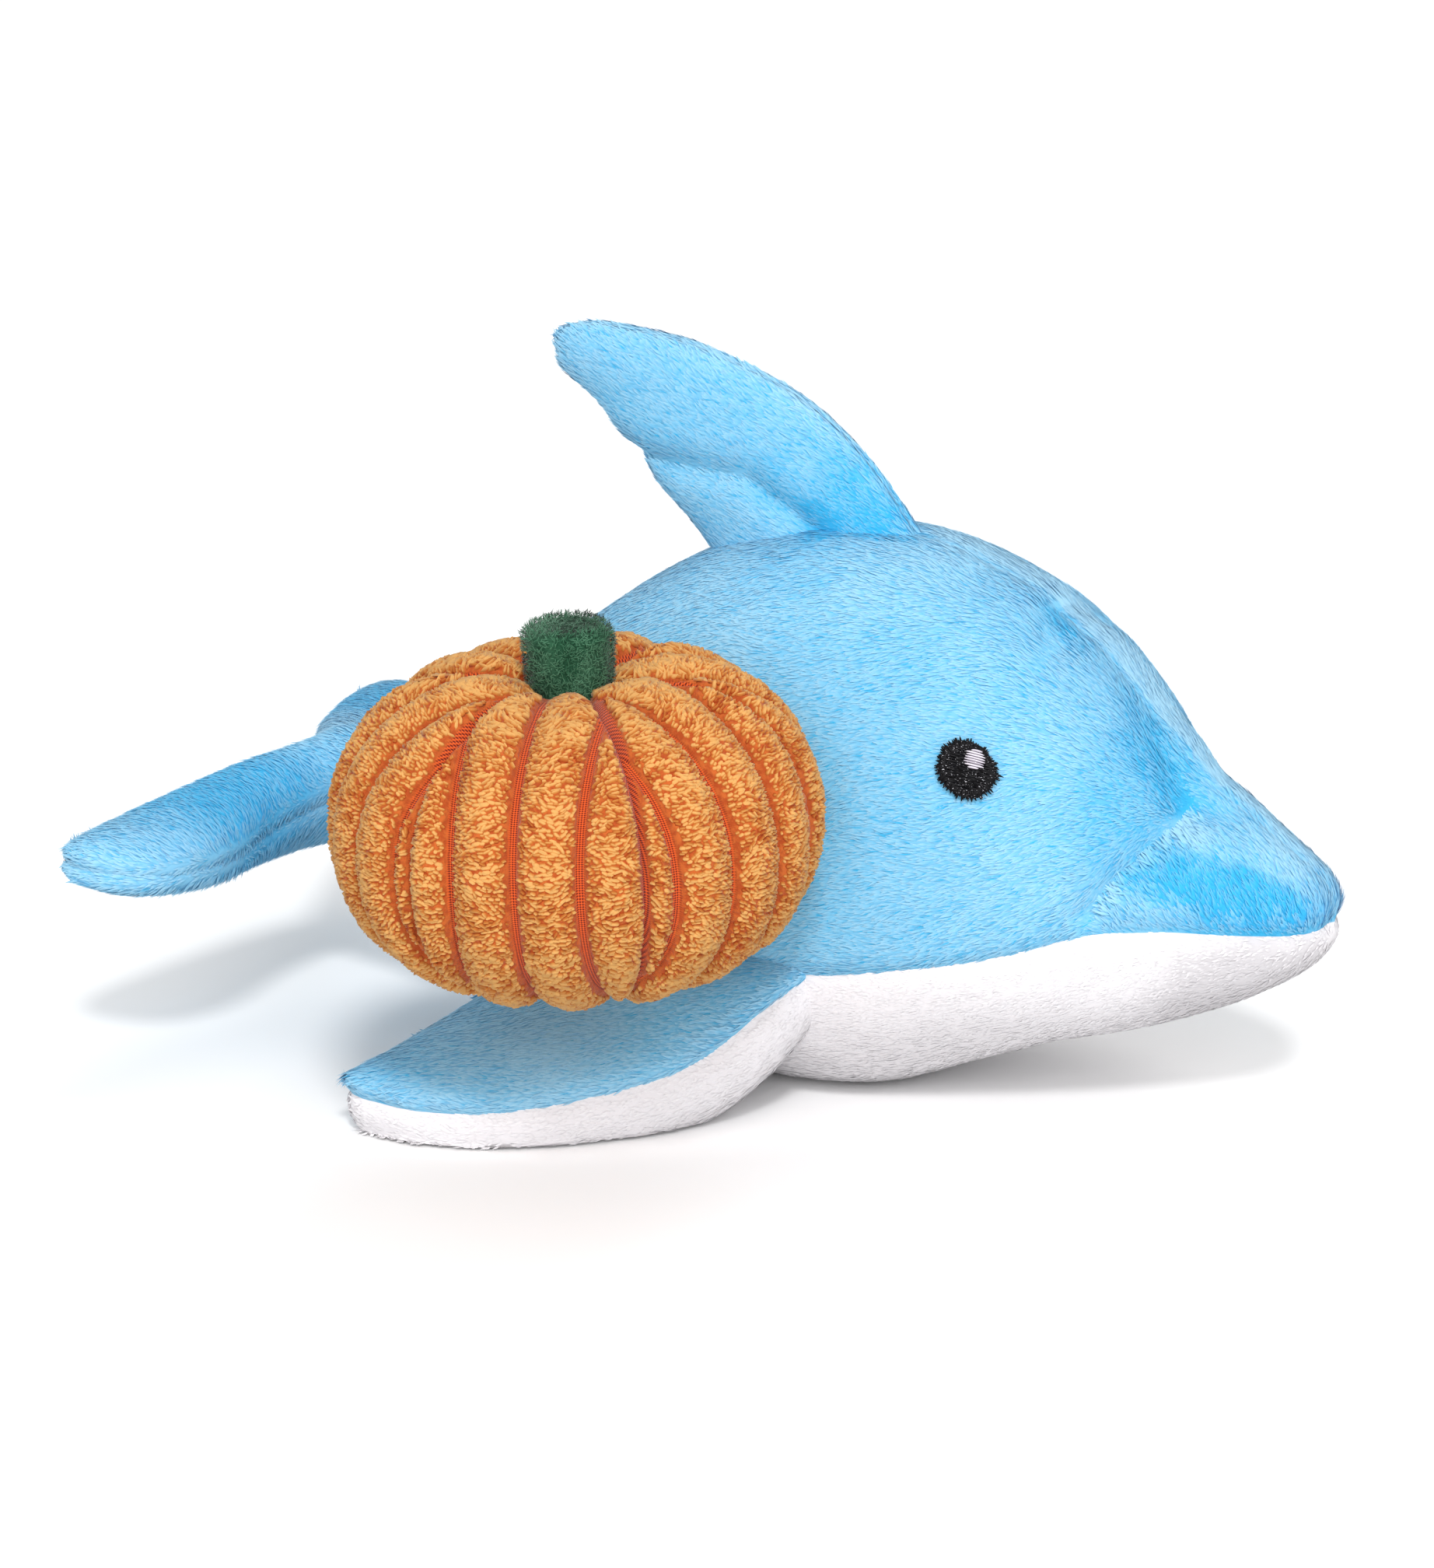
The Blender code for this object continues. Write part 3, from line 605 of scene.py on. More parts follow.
@dataclass(frozen=True)
class TuftForm:
    """How the points of one tuft go together.

    Args:
        faces: the corners of its triangles.
        heights: how far up the tuft each point is, from 0 at the root to 1 at the tip; the colour follows it,
            from painted shade at the root to painted sheen at the tip.
        map_places: where each point lies in the tuft's own cell of the bake map.
    """

    faces: Array
    heights: Array
    map_places: Array


TUFT_FORMS = {
    Tuft.BLADE: TuftForm(
        np.array(((0, 1, 3), (1, 2, 3))),
        np.array((0.2, 0.6, 1.0, 0.6)),
        np.array(((0.08, 0.08), (0.92, 0.08), (0.92, 0.92), (0.08, 0.92)))),
    # Kernels: the rim sits low on the colour ramp and the crown high, painting shade between kernels and light
    # on their crowns
    Tuft.NUB: TuftForm(
        np.array(((0, 1, 6), (1, 2, 7), (1, 7, 6), (2, 3, 7), (3, 4, 7), (4, 5, 6), (4, 6, 7), (5, 0, 6))),
        np.array((0.25, 0.20, 0.20, 0.25, 0.20, 0.20, 1.0, 1.0)),
        np.array(((0.06, 0.5), (0.3, 0.1), (0.7, 0.1), (0.94, 0.5), (0.7, 0.9), (0.3, 0.9),
                  (0.3, 0.5), (0.7, 0.5)))),
}


@dataclass(frozen=True)
class Pile:
    """How a pile grows from its cloth. Lengths in metres, angles in radians from upright.

    Args:
        length: length of a tuft.
        width: width of a tuft at its middle.
        density: tufts for each square metre, where they are scattered.
        courses: spacing down and across of tufts that stand in rows.
        tuft: the shape of a tuft.
        lean: how far a blade leans at its root and at its tip.
        stray: how far tufts stray from the nap.
        swirl: how far the nap itself wanders, over a cell of this size.
        uneven: how much the lengths differ, as a share of the length.
        pillow: how far a tuft's shading rounds it.
        tone_shift: how much paler the pile is than its cloth.
        tone_spread: how much the tone differs from tuft to tuft.
        dark_share: share of the tufts that are a good deal deeper, and narrower.
    """

    length: float
    width: float
    density: float = 0.0
    courses: tuple[float, float] | None = None
    tuft: Tuft = Tuft.BLADE
    lean: tuple[float, float] = (math.radians(86), math.radians(90))
    stray: float = 0.16
    swirl: float = 0.26
    swirl_cell: float = 0.011
    uneven: float = 0.25
    pillow: float = 0.10
    tone_shift: float = 0.0
    tone_spread: float = 0.025
    dark_share: float = 0.0

    most_lean = math.radians(91)
    lean_spread = 0.02
    upright_ease = 0.12
    worn_loss = 0.45
    length_limit = 1.8
    roll_spread = 0.05
    dark_width = 0.55
    dark_tone = -0.40
    root_width = 0.15
    foot_below = 0.18
    crown_above = 0.62
    crown_spread = 0.15
    long_gain = 0.6
    map_squares = 40

    def grow(self, name: str, fabric: Fabric, nap: Nap, seed: int,
             keep: Nap | None = None) -> bpy.types.Object:
        """Grows the pile on a piece of fabric.

        Args:
            name: name of the new piece.
            fabric: what it grows from.
            nap: gives the direction that the pile lies in at each place; it is laid into the surface here.
            seed: seed of its chance.
            keep: says which places are kept, such as those outside the body.

        Returns:
            The pile as one mesh object.
        """
        rng = np.random.default_rng(seed)
        spots = fabric.courses(self.courses, rng) if self.courses else fabric.scatter(self.density, rng)
        if keep is not None:
            kept = keep(spots)
            spots = {key: numbers[kept] for key, numbers in spots.items()}
        count = len(spots["points"])
        none = np.zeros(count)
        lie, cross = self.laid(spots, nap(spots), rng)
        easing = 1.0 - self.upright_ease * spots.get("pile_upright", none)
        easing = easing * (1.0 + rng.normal(0.0, self.lean_spread, count))
        chance = rng.normal(0.0, 1.0, count).clip(-self.length_limit, self.length_limit)
        length = self.length * (1.0 + self.uneven * chance)
        length = length * (1.0 - self.worn_loss * spots.get("pile_worn", none))
        roll = rng.normal(0.0, self.roll_spread, count)[:, None]
        dark = rng.random(count) < self.dark_share
        wide = 0.5 * self.width * (0.8 + 0.4 * rng.random(count)) * np.where(dark, self.dark_width, 1.0)
        half = (cross * np.cos(roll) + spots["normals"] * np.sin(roll)) * wide[:, None]
        tone = spots.get("pile_tone", np.full(count, 0.5)) + self.tone_shift
        tone = tone + rng.normal(0.0, self.tone_spread, count)
        values = {key: numbers for key, numbers in spots.items() if key.startswith("pile_")}
        values["pile_tone"] = np.clip(tone + self.dark_tone * dark, 0.0, 1.0)
        if self.tuft is Tuft.BLADE:
            verts = self.blades(spots, lie, half, length, easing)
        else:
            verts = self.kernels(spots, lie, half, length, rng)
        return self.mesh(name, spots, verts, values)

    def laid(self, spots: Spots, nap: Array, rng: np.random.Generator) -> tuple[Array, Array]:
        """Turns the nap into the surface and lets it wander.

        Args:
            spots: the places that the tufts stand at.
            nap: the direction of the nap at each.
            rng: the seeded source of chance.

        Returns:
            The direction that each tuft lies in, and the one across it.
        """
        roots, normals = spots["points"], spots["normals"]
        lie = unit(nap - np.sum(nap * normals, -1, keepdims=True) * normals)
        cross = np.cross(normals, lie)
        wander = self.swirl * (NOISE.at(roots, self.swirl_cell) + 0.6 * WARP.at(roots, self.swirl_cell * 0.4))
        turn = (wander + rng.normal(0.0, self.stray, len(roots)))[:, None]
        return lie * np.cos(turn) + cross * np.sin(turn), cross * np.cos(turn) - lie * np.sin(turn)

    def blades(self, spots: Spots, lie: Array, half: Array, length: Array, easing: Array) -> Array:
        """Points of flat blades that bend over to their lean at the tip.

        Args:
            spots: the places that they stand at.
            lie: the direction that each lies in.
            half: half the width of each, as a vector.
            length: length of each.
            easing: share of the lean that each takes.

        Returns:
            Blades by points by three.
        """
        middle = spots["points"]
        reached = []
        for lean in self.lean:
            bend = np.minimum(lean * easing, self.most_lean)[:, None]
            middle = middle + (spots["normals"] * np.cos(bend) + lie * np.sin(bend)) * (0.5 * length)[:, None]
            reached.append(middle)
        middle, tip = reached
        return np.stack((spots["points"] - self.root_width * half, middle - half, tip, middle + half), axis=1)

    def kernels(self, spots: Spots, lie: Array, half: Array, length: Array,
                rng: np.random.Generator) -> Array:
        """Points of rounded kernels with their feet in the cloth.

        Args:
            spots: the places that they stand at.
            lie: the direction that each is longest in.
            half: half the width of each, as a vector.
            length: length of each.
            rng: the seeded source of chance.

        Returns:
            Kernels by points by three.
        """
        normals = spots["normals"]
        longer = 1.0 + self.long_gain * spots.get("pile_long", np.zeros(len(length)))
        reach = lie * (0.5 * length * longer)[:, None]
        rise = self.crown_above * self.width * (1.0 + rng.normal(0.0, self.crown_spread, len(length)))
        foot = spots["points"] - normals * (self.foot_below * self.width)
        crown = spots["points"] + normals * rise[:, None]
        rim = ((-1.0, 0.0), (-0.5, -1.0), (0.5, -1.0), (1.0, 0.0), (0.5, 1.0), (-0.5, 1.0))
        points = [foot + ahead * reach + aside * half for ahead, aside in rim]
        return np.stack(points + [crown - 0.5 * reach, crown + 0.5 * reach], axis=1)

    def mesh(self, name: str, spots: Spots, verts: Array, values: dict[str, Array]) -> bpy.types.Object:
        """Joins the tufts into one object that is shaded by the cloth's own directions.

        Args:
            name: name of the new piece.
            spots: the places that the tufts stand at.
            verts: tufts by points by three.
            values: a number for each tuft, by name.
        """
        form = TUFT_FORMS[self.tuft]
        count, corners = verts.shape[:2]
        spread = unit(verts - verts.mean(axis=1, keepdims=True))
        shading = unit(spots["normals"][:, None, :] + self.pillow * spread).reshape(-1, 3)
        verts[..., 2] = np.maximum(verts[..., 2], FLOOR_ROOM)
        down, over = np.floor(spots["grid"] * self.map_squares).T
        rank = np.empty(count, dtype=int)
        rank[np.lexsort((over, down))] = np.arange(count)
        across = max(1, math.ceil(math.sqrt(count)))
        cell = np.stack((rank % across, rank // across), axis=-1)
        uv_of_vert = ((cell[:, None, :] + form.map_places[None]) / across).reshape(-1, 2)
        faces = (np.arange(count)[:, None, None] * corners + form.faces[None]).reshape(-1, 3)
        numbers = {key: np.repeat(value, corners) for key, value in values.items()}
        numbers["pile_reach"] = np.tile(form.heights, count)
        return mesh_object(name, verts.reshape(-1, 3), faces, uv_of_vert[faces.ravel()], numbers, shading)


# Finishes


class Tree:
    """A short way to write the nodes of a material or a node group."""

    def __init__(self, tree: bpy.types.NodeTree) -> None:
        """Takes over a tree."""
        self.tree = tree
        self.place = 0

    def node(self, kind: str, **settings: object) -> bpy.types.Node:
        """Adds a node and sets its properties."""
        made = self.tree.nodes.new(kind)
        made.location = (self.place * 190.0, 0.0)
        self.place += 1
        for key, value in settings.items():
            setattr(made, key, value)
        return made

    def link(self, source: bpy.types.NodeSocket, target: bpy.types.NodeSocket) -> None:
        """Joins two sockets."""
        self.tree.links.new(source, target)

    def feed(self, sockets: bpy.types.bpy_prop_collection | Sequence,
             values: dict[int | str, object]) -> None:
        """Links each named socket to another, or sets it to a plain value."""
        for key, value in values.items():
            if isinstance(value, bpy.types.NodeSocket):
                self.link(value, sockets[key])
            else:
                sockets[key].default_value = value

    def math(self, operation: str, first: object, second: object = 0.0,
             clamp: bool = False) -> bpy.types.NodeSocket:
        """A Math node of two sockets or numbers."""
        made = self.node("ShaderNodeMath", operation=operation, use_clamp=clamp)
        self.feed(made.inputs, {0: first, 1: second})
        return made.outputs[0]

    def mix(self, share: object, first: object, second: object) -> bpy.types.NodeSocket:
        """A colour mix of two sockets or colours."""
        made = self.node("ShaderNodeMix", data_type="RGBA")
        self.feed(made.inputs, {0: share, 6: first, 7: second})
        return made.outputs[2]

    def noise(self, vector: object, scale: object, detail: float = 2.0, roughness: float = 0.5) -> (
            bpy.types.NodeSocket):
        """Fac of a Noise Texture."""
        made = self.node("ShaderNodeTexNoise")
        self.feed(made.inputs, {"Vector": vector, "Scale": scale, "Detail": detail, "Roughness": roughness})
        return made.outputs["Fac"]

    def bump(self, height: bpy.types.NodeSocket, strength: float, distance: float) -> bpy.types.NodeSocket:
        """Normal of a Bump node."""
        made = self.node("ShaderNodeBump")
        self.feed(made.inputs, {"Height": height, "Strength": strength, "Distance": distance})
        return made.outputs["Normal"]

    def shared(self, name: str, **values: object) -> bpy.types.Node:
        """A shared node group, with its inputs by name and _ for a space."""
        made = self.node("ShaderNodeGroup", node_tree=bpy.data.node_groups[name])
        self.feed(made.inputs, {key.replace("_", " "): value for key, value in values.items()})
        return made

    def value_of(self, name: str) -> bpy.types.NodeSocket:
        """A number that the mesh carries."""
        return self.node("ShaderNodeAttribute", attribute_name=name).outputs["Fac"]

    def stretch(self, socket: bpy.types.NodeSocket, low: float, high: float) -> bpy.types.NodeSocket:
        """A value eased from 0 at low to 1 at high."""
        made = self.node("ShaderNodeMapRange", interpolation_type="SMOOTHSTEP")
        self.feed(made.inputs, {"Value": socket, "From Min": low, "From Max": high})
        return made.outputs["Result"]

    def seen(self) -> bpy.types.NodeSocket:
        """1 where a surface is looked at, also through glass or in a mirror, and 0 where it only gives light."""
        path = self.node("ShaderNodeLightPath").outputs
        mirrored = self.math("MAXIMUM", path["Is Glossy Ray"], path["Is Transmission Ray"])
        return self.math("MAXIMUM", path["Is Camera Ray"], mirrored)


def rgba(colour: Colour) -> tuple[float, float, float, float]:
    """A colour with full alpha, from sRGB numbers of 0 to 255."""
    def linear(value: float) -> float:
        """One channel in linear light."""
        share = value / 255.0
        return share / 12.92 if share <= 0.04045 else ((share + 0.055) / 1.055) ** 2.4

    return (*(linear(value) for value in colour), 1.0)


def group(name: str, inputs: Sequence[tuple[str, str, object]], output: tuple[str, str]) -> tuple[
        Tree, bpy.types.bpy_prop_collection, bpy.types.NodeSocket]:
    """Starts a shader node group.

    Args:
        name: its name.
        inputs: name, socket type and starting value of each input.
        output: name and socket type of its output.

    Returns:
        A Tree on the group, the sockets that its inputs come in by, and the one that its output leaves by.
    """
    made = bpy.data.node_groups.new(name, "ShaderNodeTree")
    for label, kind, value in inputs:
        made.interface.new_socket(label, in_out="INPUT", socket_type=kind).default_value = value
    made.interface.new_socket(output[0], in_out="OUTPUT", socket_type=output[1])
    tree = Tree(made)
    return tree, tree.node("NodeGroupInput").outputs, tree.node("NodeGroupOutput").inputs[0]


def make_pile_colour() -> None:
    """Makes the colour of a pile: deep at the roots as painted shade among the fibres, pale at the tips as
    painted sheen, and uneven from tuft to tuft.
    """
    colour, number = "NodeSocketColor", "NodeSocketFloat"
    tree, given, out = group(
        "pile_colour_and_shade",
        [("Root", colour, (0.1, 0.3, 0.6, 1)), ("Body", colour, (0.3, 0.6, 0.9, 1)),
         ("Tip", colour, (0.6, 0.8, 1, 1)), ("Reach", number, 0.5), ("Tone", number, 0.5),
         ("Patch Size", number, 60.0), ("Unevenness", number, 0.2)],
        ("Color", colour))
    patch = tree.noise(tree.node("ShaderNodeTexCoord").outputs["Object"], given["Patch Size"], 3.0)
    drift = tree.math("MULTIPLY", tree.math("SUBTRACT", patch, 0.5), given["Unevenness"])
    shift = tree.math("SUBTRACT", tree.math("ADD", given["Tone"], drift), 0.5)
    level = tree.math("ADD", given["Reach"], tree.math("MULTIPLY", shift, 1.1), clamp=True)
    low = tree.mix(tree.stretch(level, 0.0, 0.55), given["Root"], given["Body"])
    tree.link(tree.mix(tree.stretch(level, 0.45, 1.0), low, given["Tip"]), out)


def make_fibre_height() -> None:
    """Makes the height of fine fibres that run along X of the object's own space."""
    number = "NodeSocketFloat"
    tree, given, out = group("fibre_height", [("Scale", number, 900.0), ("Stretch", number, 6.0)],
                             ("Height", number))
    size = tree.node("ShaderNodeCombineXYZ")
    tree.feed(size.inputs, {"X": tree.math("DIVIDE", 1.0, given["Stretch"]), "Y": 1.0, "Z": 1.0})
    squeeze = tree.node("ShaderNodeMapping")
    where = tree.node("ShaderNodeTexCoord").outputs["Object"]
    tree.feed(squeeze.inputs, {"Vector": where, "Scale": size.outputs["Vector"]})
    tree.link(tree.noise(squeeze.outputs["Vector"], given["Scale"]), out)


@dataclass(frozen=True)
class Finish:
    """A look with a name. All pieces that have it share one material."""

    name: str

    def material(self) -> bpy.types.Material:
        """Finds the material, or makes it."""
        if self.name in bpy.data.materials:
            return bpy.data.materials[self.name]
        made = bpy.data.materials.new(self.name)
        made.use_nodes = True
        tree = Tree(made.node_tree)
        tree.feed(made.node_tree.nodes["Principled BSDF"].inputs, self.inputs(tree))
        return made

    def inputs(self, tree: Tree) -> dict[str, object]:
        """What goes into the shader: sockets of the nodes that it adds, and plain values."""
        raise NotImplementedError


@dataclass(frozen=True)
class PileFinish(Finish):
    """A plush: its cloth and its pile share one material, deep at the roots as painted shade and pale at the
    tips as painted sheen.

    Args:
        name: the material's name.
        root, body, tip: sRGB colours of a tuft from its root to its tip; the deep root is painted shade and the
            pale tip painted sheen.
        sheen: how much light its fuzz catches at a slant.
        unevenness: how much the dye and the brushing vary.
        patch: how fine that unevenness is.
    """

    root: Colour
    body: Colour
    tip: Colour
    sheen: float = 0.1
    unevenness: float = 0.35
    patch: float = 55.0

    def inputs(self, tree: Tree) -> dict[str, object]:
        """The colour, with its painted shade and sheen, and the fine fibres."""
        dye = tree.shared("pile_colour_and_shade", Root=rgba(self.root), Body=rgba(self.body), Tip=rgba(self.tip),
                          Patch_Size=self.patch, Unevenness=self.unevenness,
                          Reach=tree.value_of("pile_reach"), Tone=tree.value_of("pile_tone"))
        fibres = tree.shared("fibre_height").outputs["Height"]
        return {"Base Color": dye.outputs["Color"], "Normal": tree.bump(fibres, 0.25, 0.0004),
                "Roughness": 0.92,
                "Specular IOR Level": 0.2, "Sheen Weight": self.sheen, "Sheen Roughness": 0.45}


@dataclass(frozen=True)
class GroundFinish(Finish):
    """The pumpkin's ribbed cloth: dyed nap on the ribs and a bare woven ground in the grooves.

    Args:
        name: the material's name.
        groove, groove_dark: sRGB colours of the woven ground's threads and of the gaps between them; the
            ground's own red-orange, made darker as painted shade at the bottom of the grooves.
        rib, rib_deep: sRGB colours of the cloth under the pile.
    """

    groove: Colour
    groove_dark: Colour
    rib: Colour
    rib_deep: Colour

    def inputs(self, tree: Tree) -> dict[str, object]:
        """The weave in the grooves and the nap between them."""
        turn = 2 * math.pi
        pick = tree.math("SINE", tree.math("MULTIPLY", tree.value_of("weave_along"), turn))
        warp = tree.math("SINE", tree.math("MULTIPLY", tree.value_of("weave_across"), turn))
        weave = tree.math("ADD", tree.math("MULTIPLY", tree.math("ADD", pick, warp), 0.25), 0.5)
        cloth = tree.mix(tree.stretch(weave, 0.2, 0.7), rgba(self.groove_dark), rgba(self.groove))
        where = tree.node("ShaderNodeTexCoord").outputs["Object"]
        nubs = tree.stretch(tree.noise(where, 620.0, 3.0, 0.6), 0.35, 0.65)
        nap = tree.mix(nubs, rgba(self.rib_deep), rgba(self.rib))
        bare = tree.value_of("pile_bare")
        height = tree.node("ShaderNodeMix", data_type="FLOAT")
        tree.feed(height.inputs, {0: bare, 2: nubs, 3: weave})
        return {"Base Color": tree.mix(bare, nap, cloth), "Normal": tree.bump(height.outputs[0], 0.6, 0.0003),
                "Roughness": 0.85, "Specular IOR Level": 0.25, "Sheen Weight": 0.15}


@dataclass(frozen=True)
class ThreadFinish(Finish):
    """Embroidery thread.

    Args:
        name: the material's name.
        colour, shade: sRGB colours of a thread's back and of its shaded side.
        glint: sRGB colour of the small specks where it catches the light.
        roughness: how dull it is.
    """

    colour: Colour
    shade: Colour
    glint: Colour
    roughness: float

    def inputs(self, tree: Tree) -> dict[str, object]:
        """Threads with specks of light on them."""
        fibres = tree.shared("fibre_height", Scale=5200.0, Stretch=2.6)
        specks = tree.stretch(fibres.outputs["Height"], 0.665, 0.700)
        thread = tree.mix(tree.value_of("thread_tone_and_shade"), rgba(self.shade), rgba(self.colour))
        return {"Base Color": tree.mix(specks, thread, rgba(self.glint)), "Roughness": self.roughness,
                "Specular IOR Level": 0.12}


BLUE = PileFinish("blue_pile", (54, 172, 222), (118, 189, 226), (154, 205, 232), sheen=0.12, unevenness=0.2)
WHITE = PileFinish("white_pile", (206, 203, 206), (233, 230, 233), (240, 238, 240), unevenness=0.10)
GREEN = PileFinish("green_curls", (13, 50, 32), (36, 82, 57), (82, 128, 100), sheen=0.2, patch=160.0)
ORANGE_TUFTS = PileFinish("orange_chenille", (152, 60, 16), (185, 112, 48), (216, 163, 96),
                          unevenness=0.45, patch=140.0)
# The groove colours are the ribbon's own red-orange, darkened as painted shade in the grooves
ORANGE_GROUND = GroundFinish("orange_ground", (226, 94, 36), (104, 26, 8), (190, 96, 38), (166, 70, 22))
BLACK_THREAD = ThreadFinish("black_satin", (13, 13, 16), (3, 3, 5), (205, 205, 212), 0.42)
LILAC_THREAD = ThreadFinish("lilac_satin", (224, 219, 229), (88, 76, 96), (250, 248, 252), 0.5)


def dress(piece: bpy.types.Object, finish: Finish, nodes: Sequence[str] = ()) -> None:
    """Gives a piece its material, its body and the nodes that it stands for."""
    piece.data.materials.append(finish.material())
    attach(piece, "root")
    if nodes:
        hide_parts(*nodes)
    LOG.info("%s: %d faces", piece.name, len(piece.data.polygons))


# The dolphin


@dataclass(frozen=True)
class Patch:
    """A place where the pile looks deeper or paler. Most show brushing of the pile; some are painted shade in
    the back fin's fold and painted light on the flipper under the pumpkin.

    Args:
        centre: its middle.
        reach: how far it goes.
        tone: how much paler it is, or deeper where less than 0.
        upright: how far the pile stands up there.
        both_sides: whether the left side has it too.
    """

    centre: Place
    reach: float
    tone: float
    upright: float = 0.0
    both_sides: bool = True


PATCHES = (
    Patch((0.0505, -0.0045, 0.0915), 0.0062, -0.40, 0.3, False),
    Patch((0.0560, -0.0040, 0.0868), 0.0050, -0.22, 0.3, False),
    Patch((0.0650, -0.0050, 0.0765), 0.0060, -0.16, 0.3, False),
    Patch((0.0700, -0.0070, 0.0700), 0.0100, -0.36, 0.3, False),
    Patch((0.0765, -0.0080, 0.0630), 0.0090, -0.42, 0.3, False),
    Patch((0.0680, -0.0200, 0.0610), 0.0170, -0.20),
    Patch((0.0785, -0.0215, 0.0500), 0.0095, -0.42, 0.2),
    Patch((0.0860, -0.0185, 0.0470), 0.0095, -0.46, 0.2),
    Patch((0.0935, -0.0145, 0.0450), 0.0070, -0.38, 0.2),
    Patch((0.0980, -0.0120, 0.0445), 0.0050, -0.36, 0.2),
    Patch((0.0800, -0.0130, 0.0560), 0.0060, 0.30, 0.3),
    Patch((0.0760, -0.0200, 0.0525), 0.0050, 0.25, 0.3),
    Patch((0.0980, -0.0040, 0.0510), 0.0100, 0.22),
    Patch((-0.0150, -0.030, 0.0900), 0.0300, 0.10),
    Patch((0.0260, -0.015, 0.1010), 0.0200, 0.08),
    # Painted shade in and below the fold of the back fin
    Patch((0.0120, -0.005, 0.1110), 0.0130, -0.30),
    Patch((0.0180, -0.004, 0.1045), 0.0090, -0.34),
    Patch((-0.0060, -0.007, 0.1120), 0.0090, -0.16),
    Patch((0.0050, -0.007, 0.1035), 0.0070, -0.40),
    # Painted light: the flipper's top under the pumpkin made paler against the pumpkin's shade
    Patch((-0.0350, -0.062, 0.0200), 0.0260, 0.20),
    Patch((-0.1130, -0.038, 0.0470), 0.0300, -0.46),
    Patch((0.0900, -0.010, 0.0260), 0.0260, -0.50),
    # Painted light on the flipper under the pumpkin
    Patch((-0.0200, -0.062, 0.0200), 0.0200, 0.20),
)


def brushing_and_painted_light(points: Array) -> tuple[Array, Array]:
    """Tone of the blue pile at these points, and how far it stands up: brushing, with painted shade in the back
    fin's fold and painted light on the flipper under the pumpkin.
    """
    mirrored = np.where(points[..., 1:2] > 0, points * np.array((1.0, -1.0, 1.0)), points)
    tone = 0.5 + 0.06 * NOISE.at(points, 0.017) + 0.05 * WARP.at(points, 0.006)
    upright = np.zeros(points.shape[:-1])
    ragged = 0.0022 * NOISE.at(points, 0.0035) + 0.0012 * WARP.at(points * np.array((0.4, 1.0, 1.0)), 0.0012)
    for patch in PATCHES:
        near = np.linalg.norm((mirrored if patch.both_sides else points) - np.array(patch.centre), axis=-1)
        share = 1.0 - smooth_step(near + ragged, patch.reach * 0.30, patch.reach)
        tone = tone + patch.tone * share
        upright = upright + patch.upright * share
    return np.clip(tone, 0.0, 1.0), np.clip(upright, 0.0, 1.0)


def toward(*direction: float) -> Nap:
    """A nap that lies in one direction."""
    return lambda spots: np.broadcast_to(np.array(direction, dtype=float), spots["points"].shape)


WHITE_PILE = Pile(0.0016, 0.00060, density=1.6e6, lean=(math.radians(85), math.radians(90)), stray=0.30,
                  pillow=0.05, tone_spread=0.04)


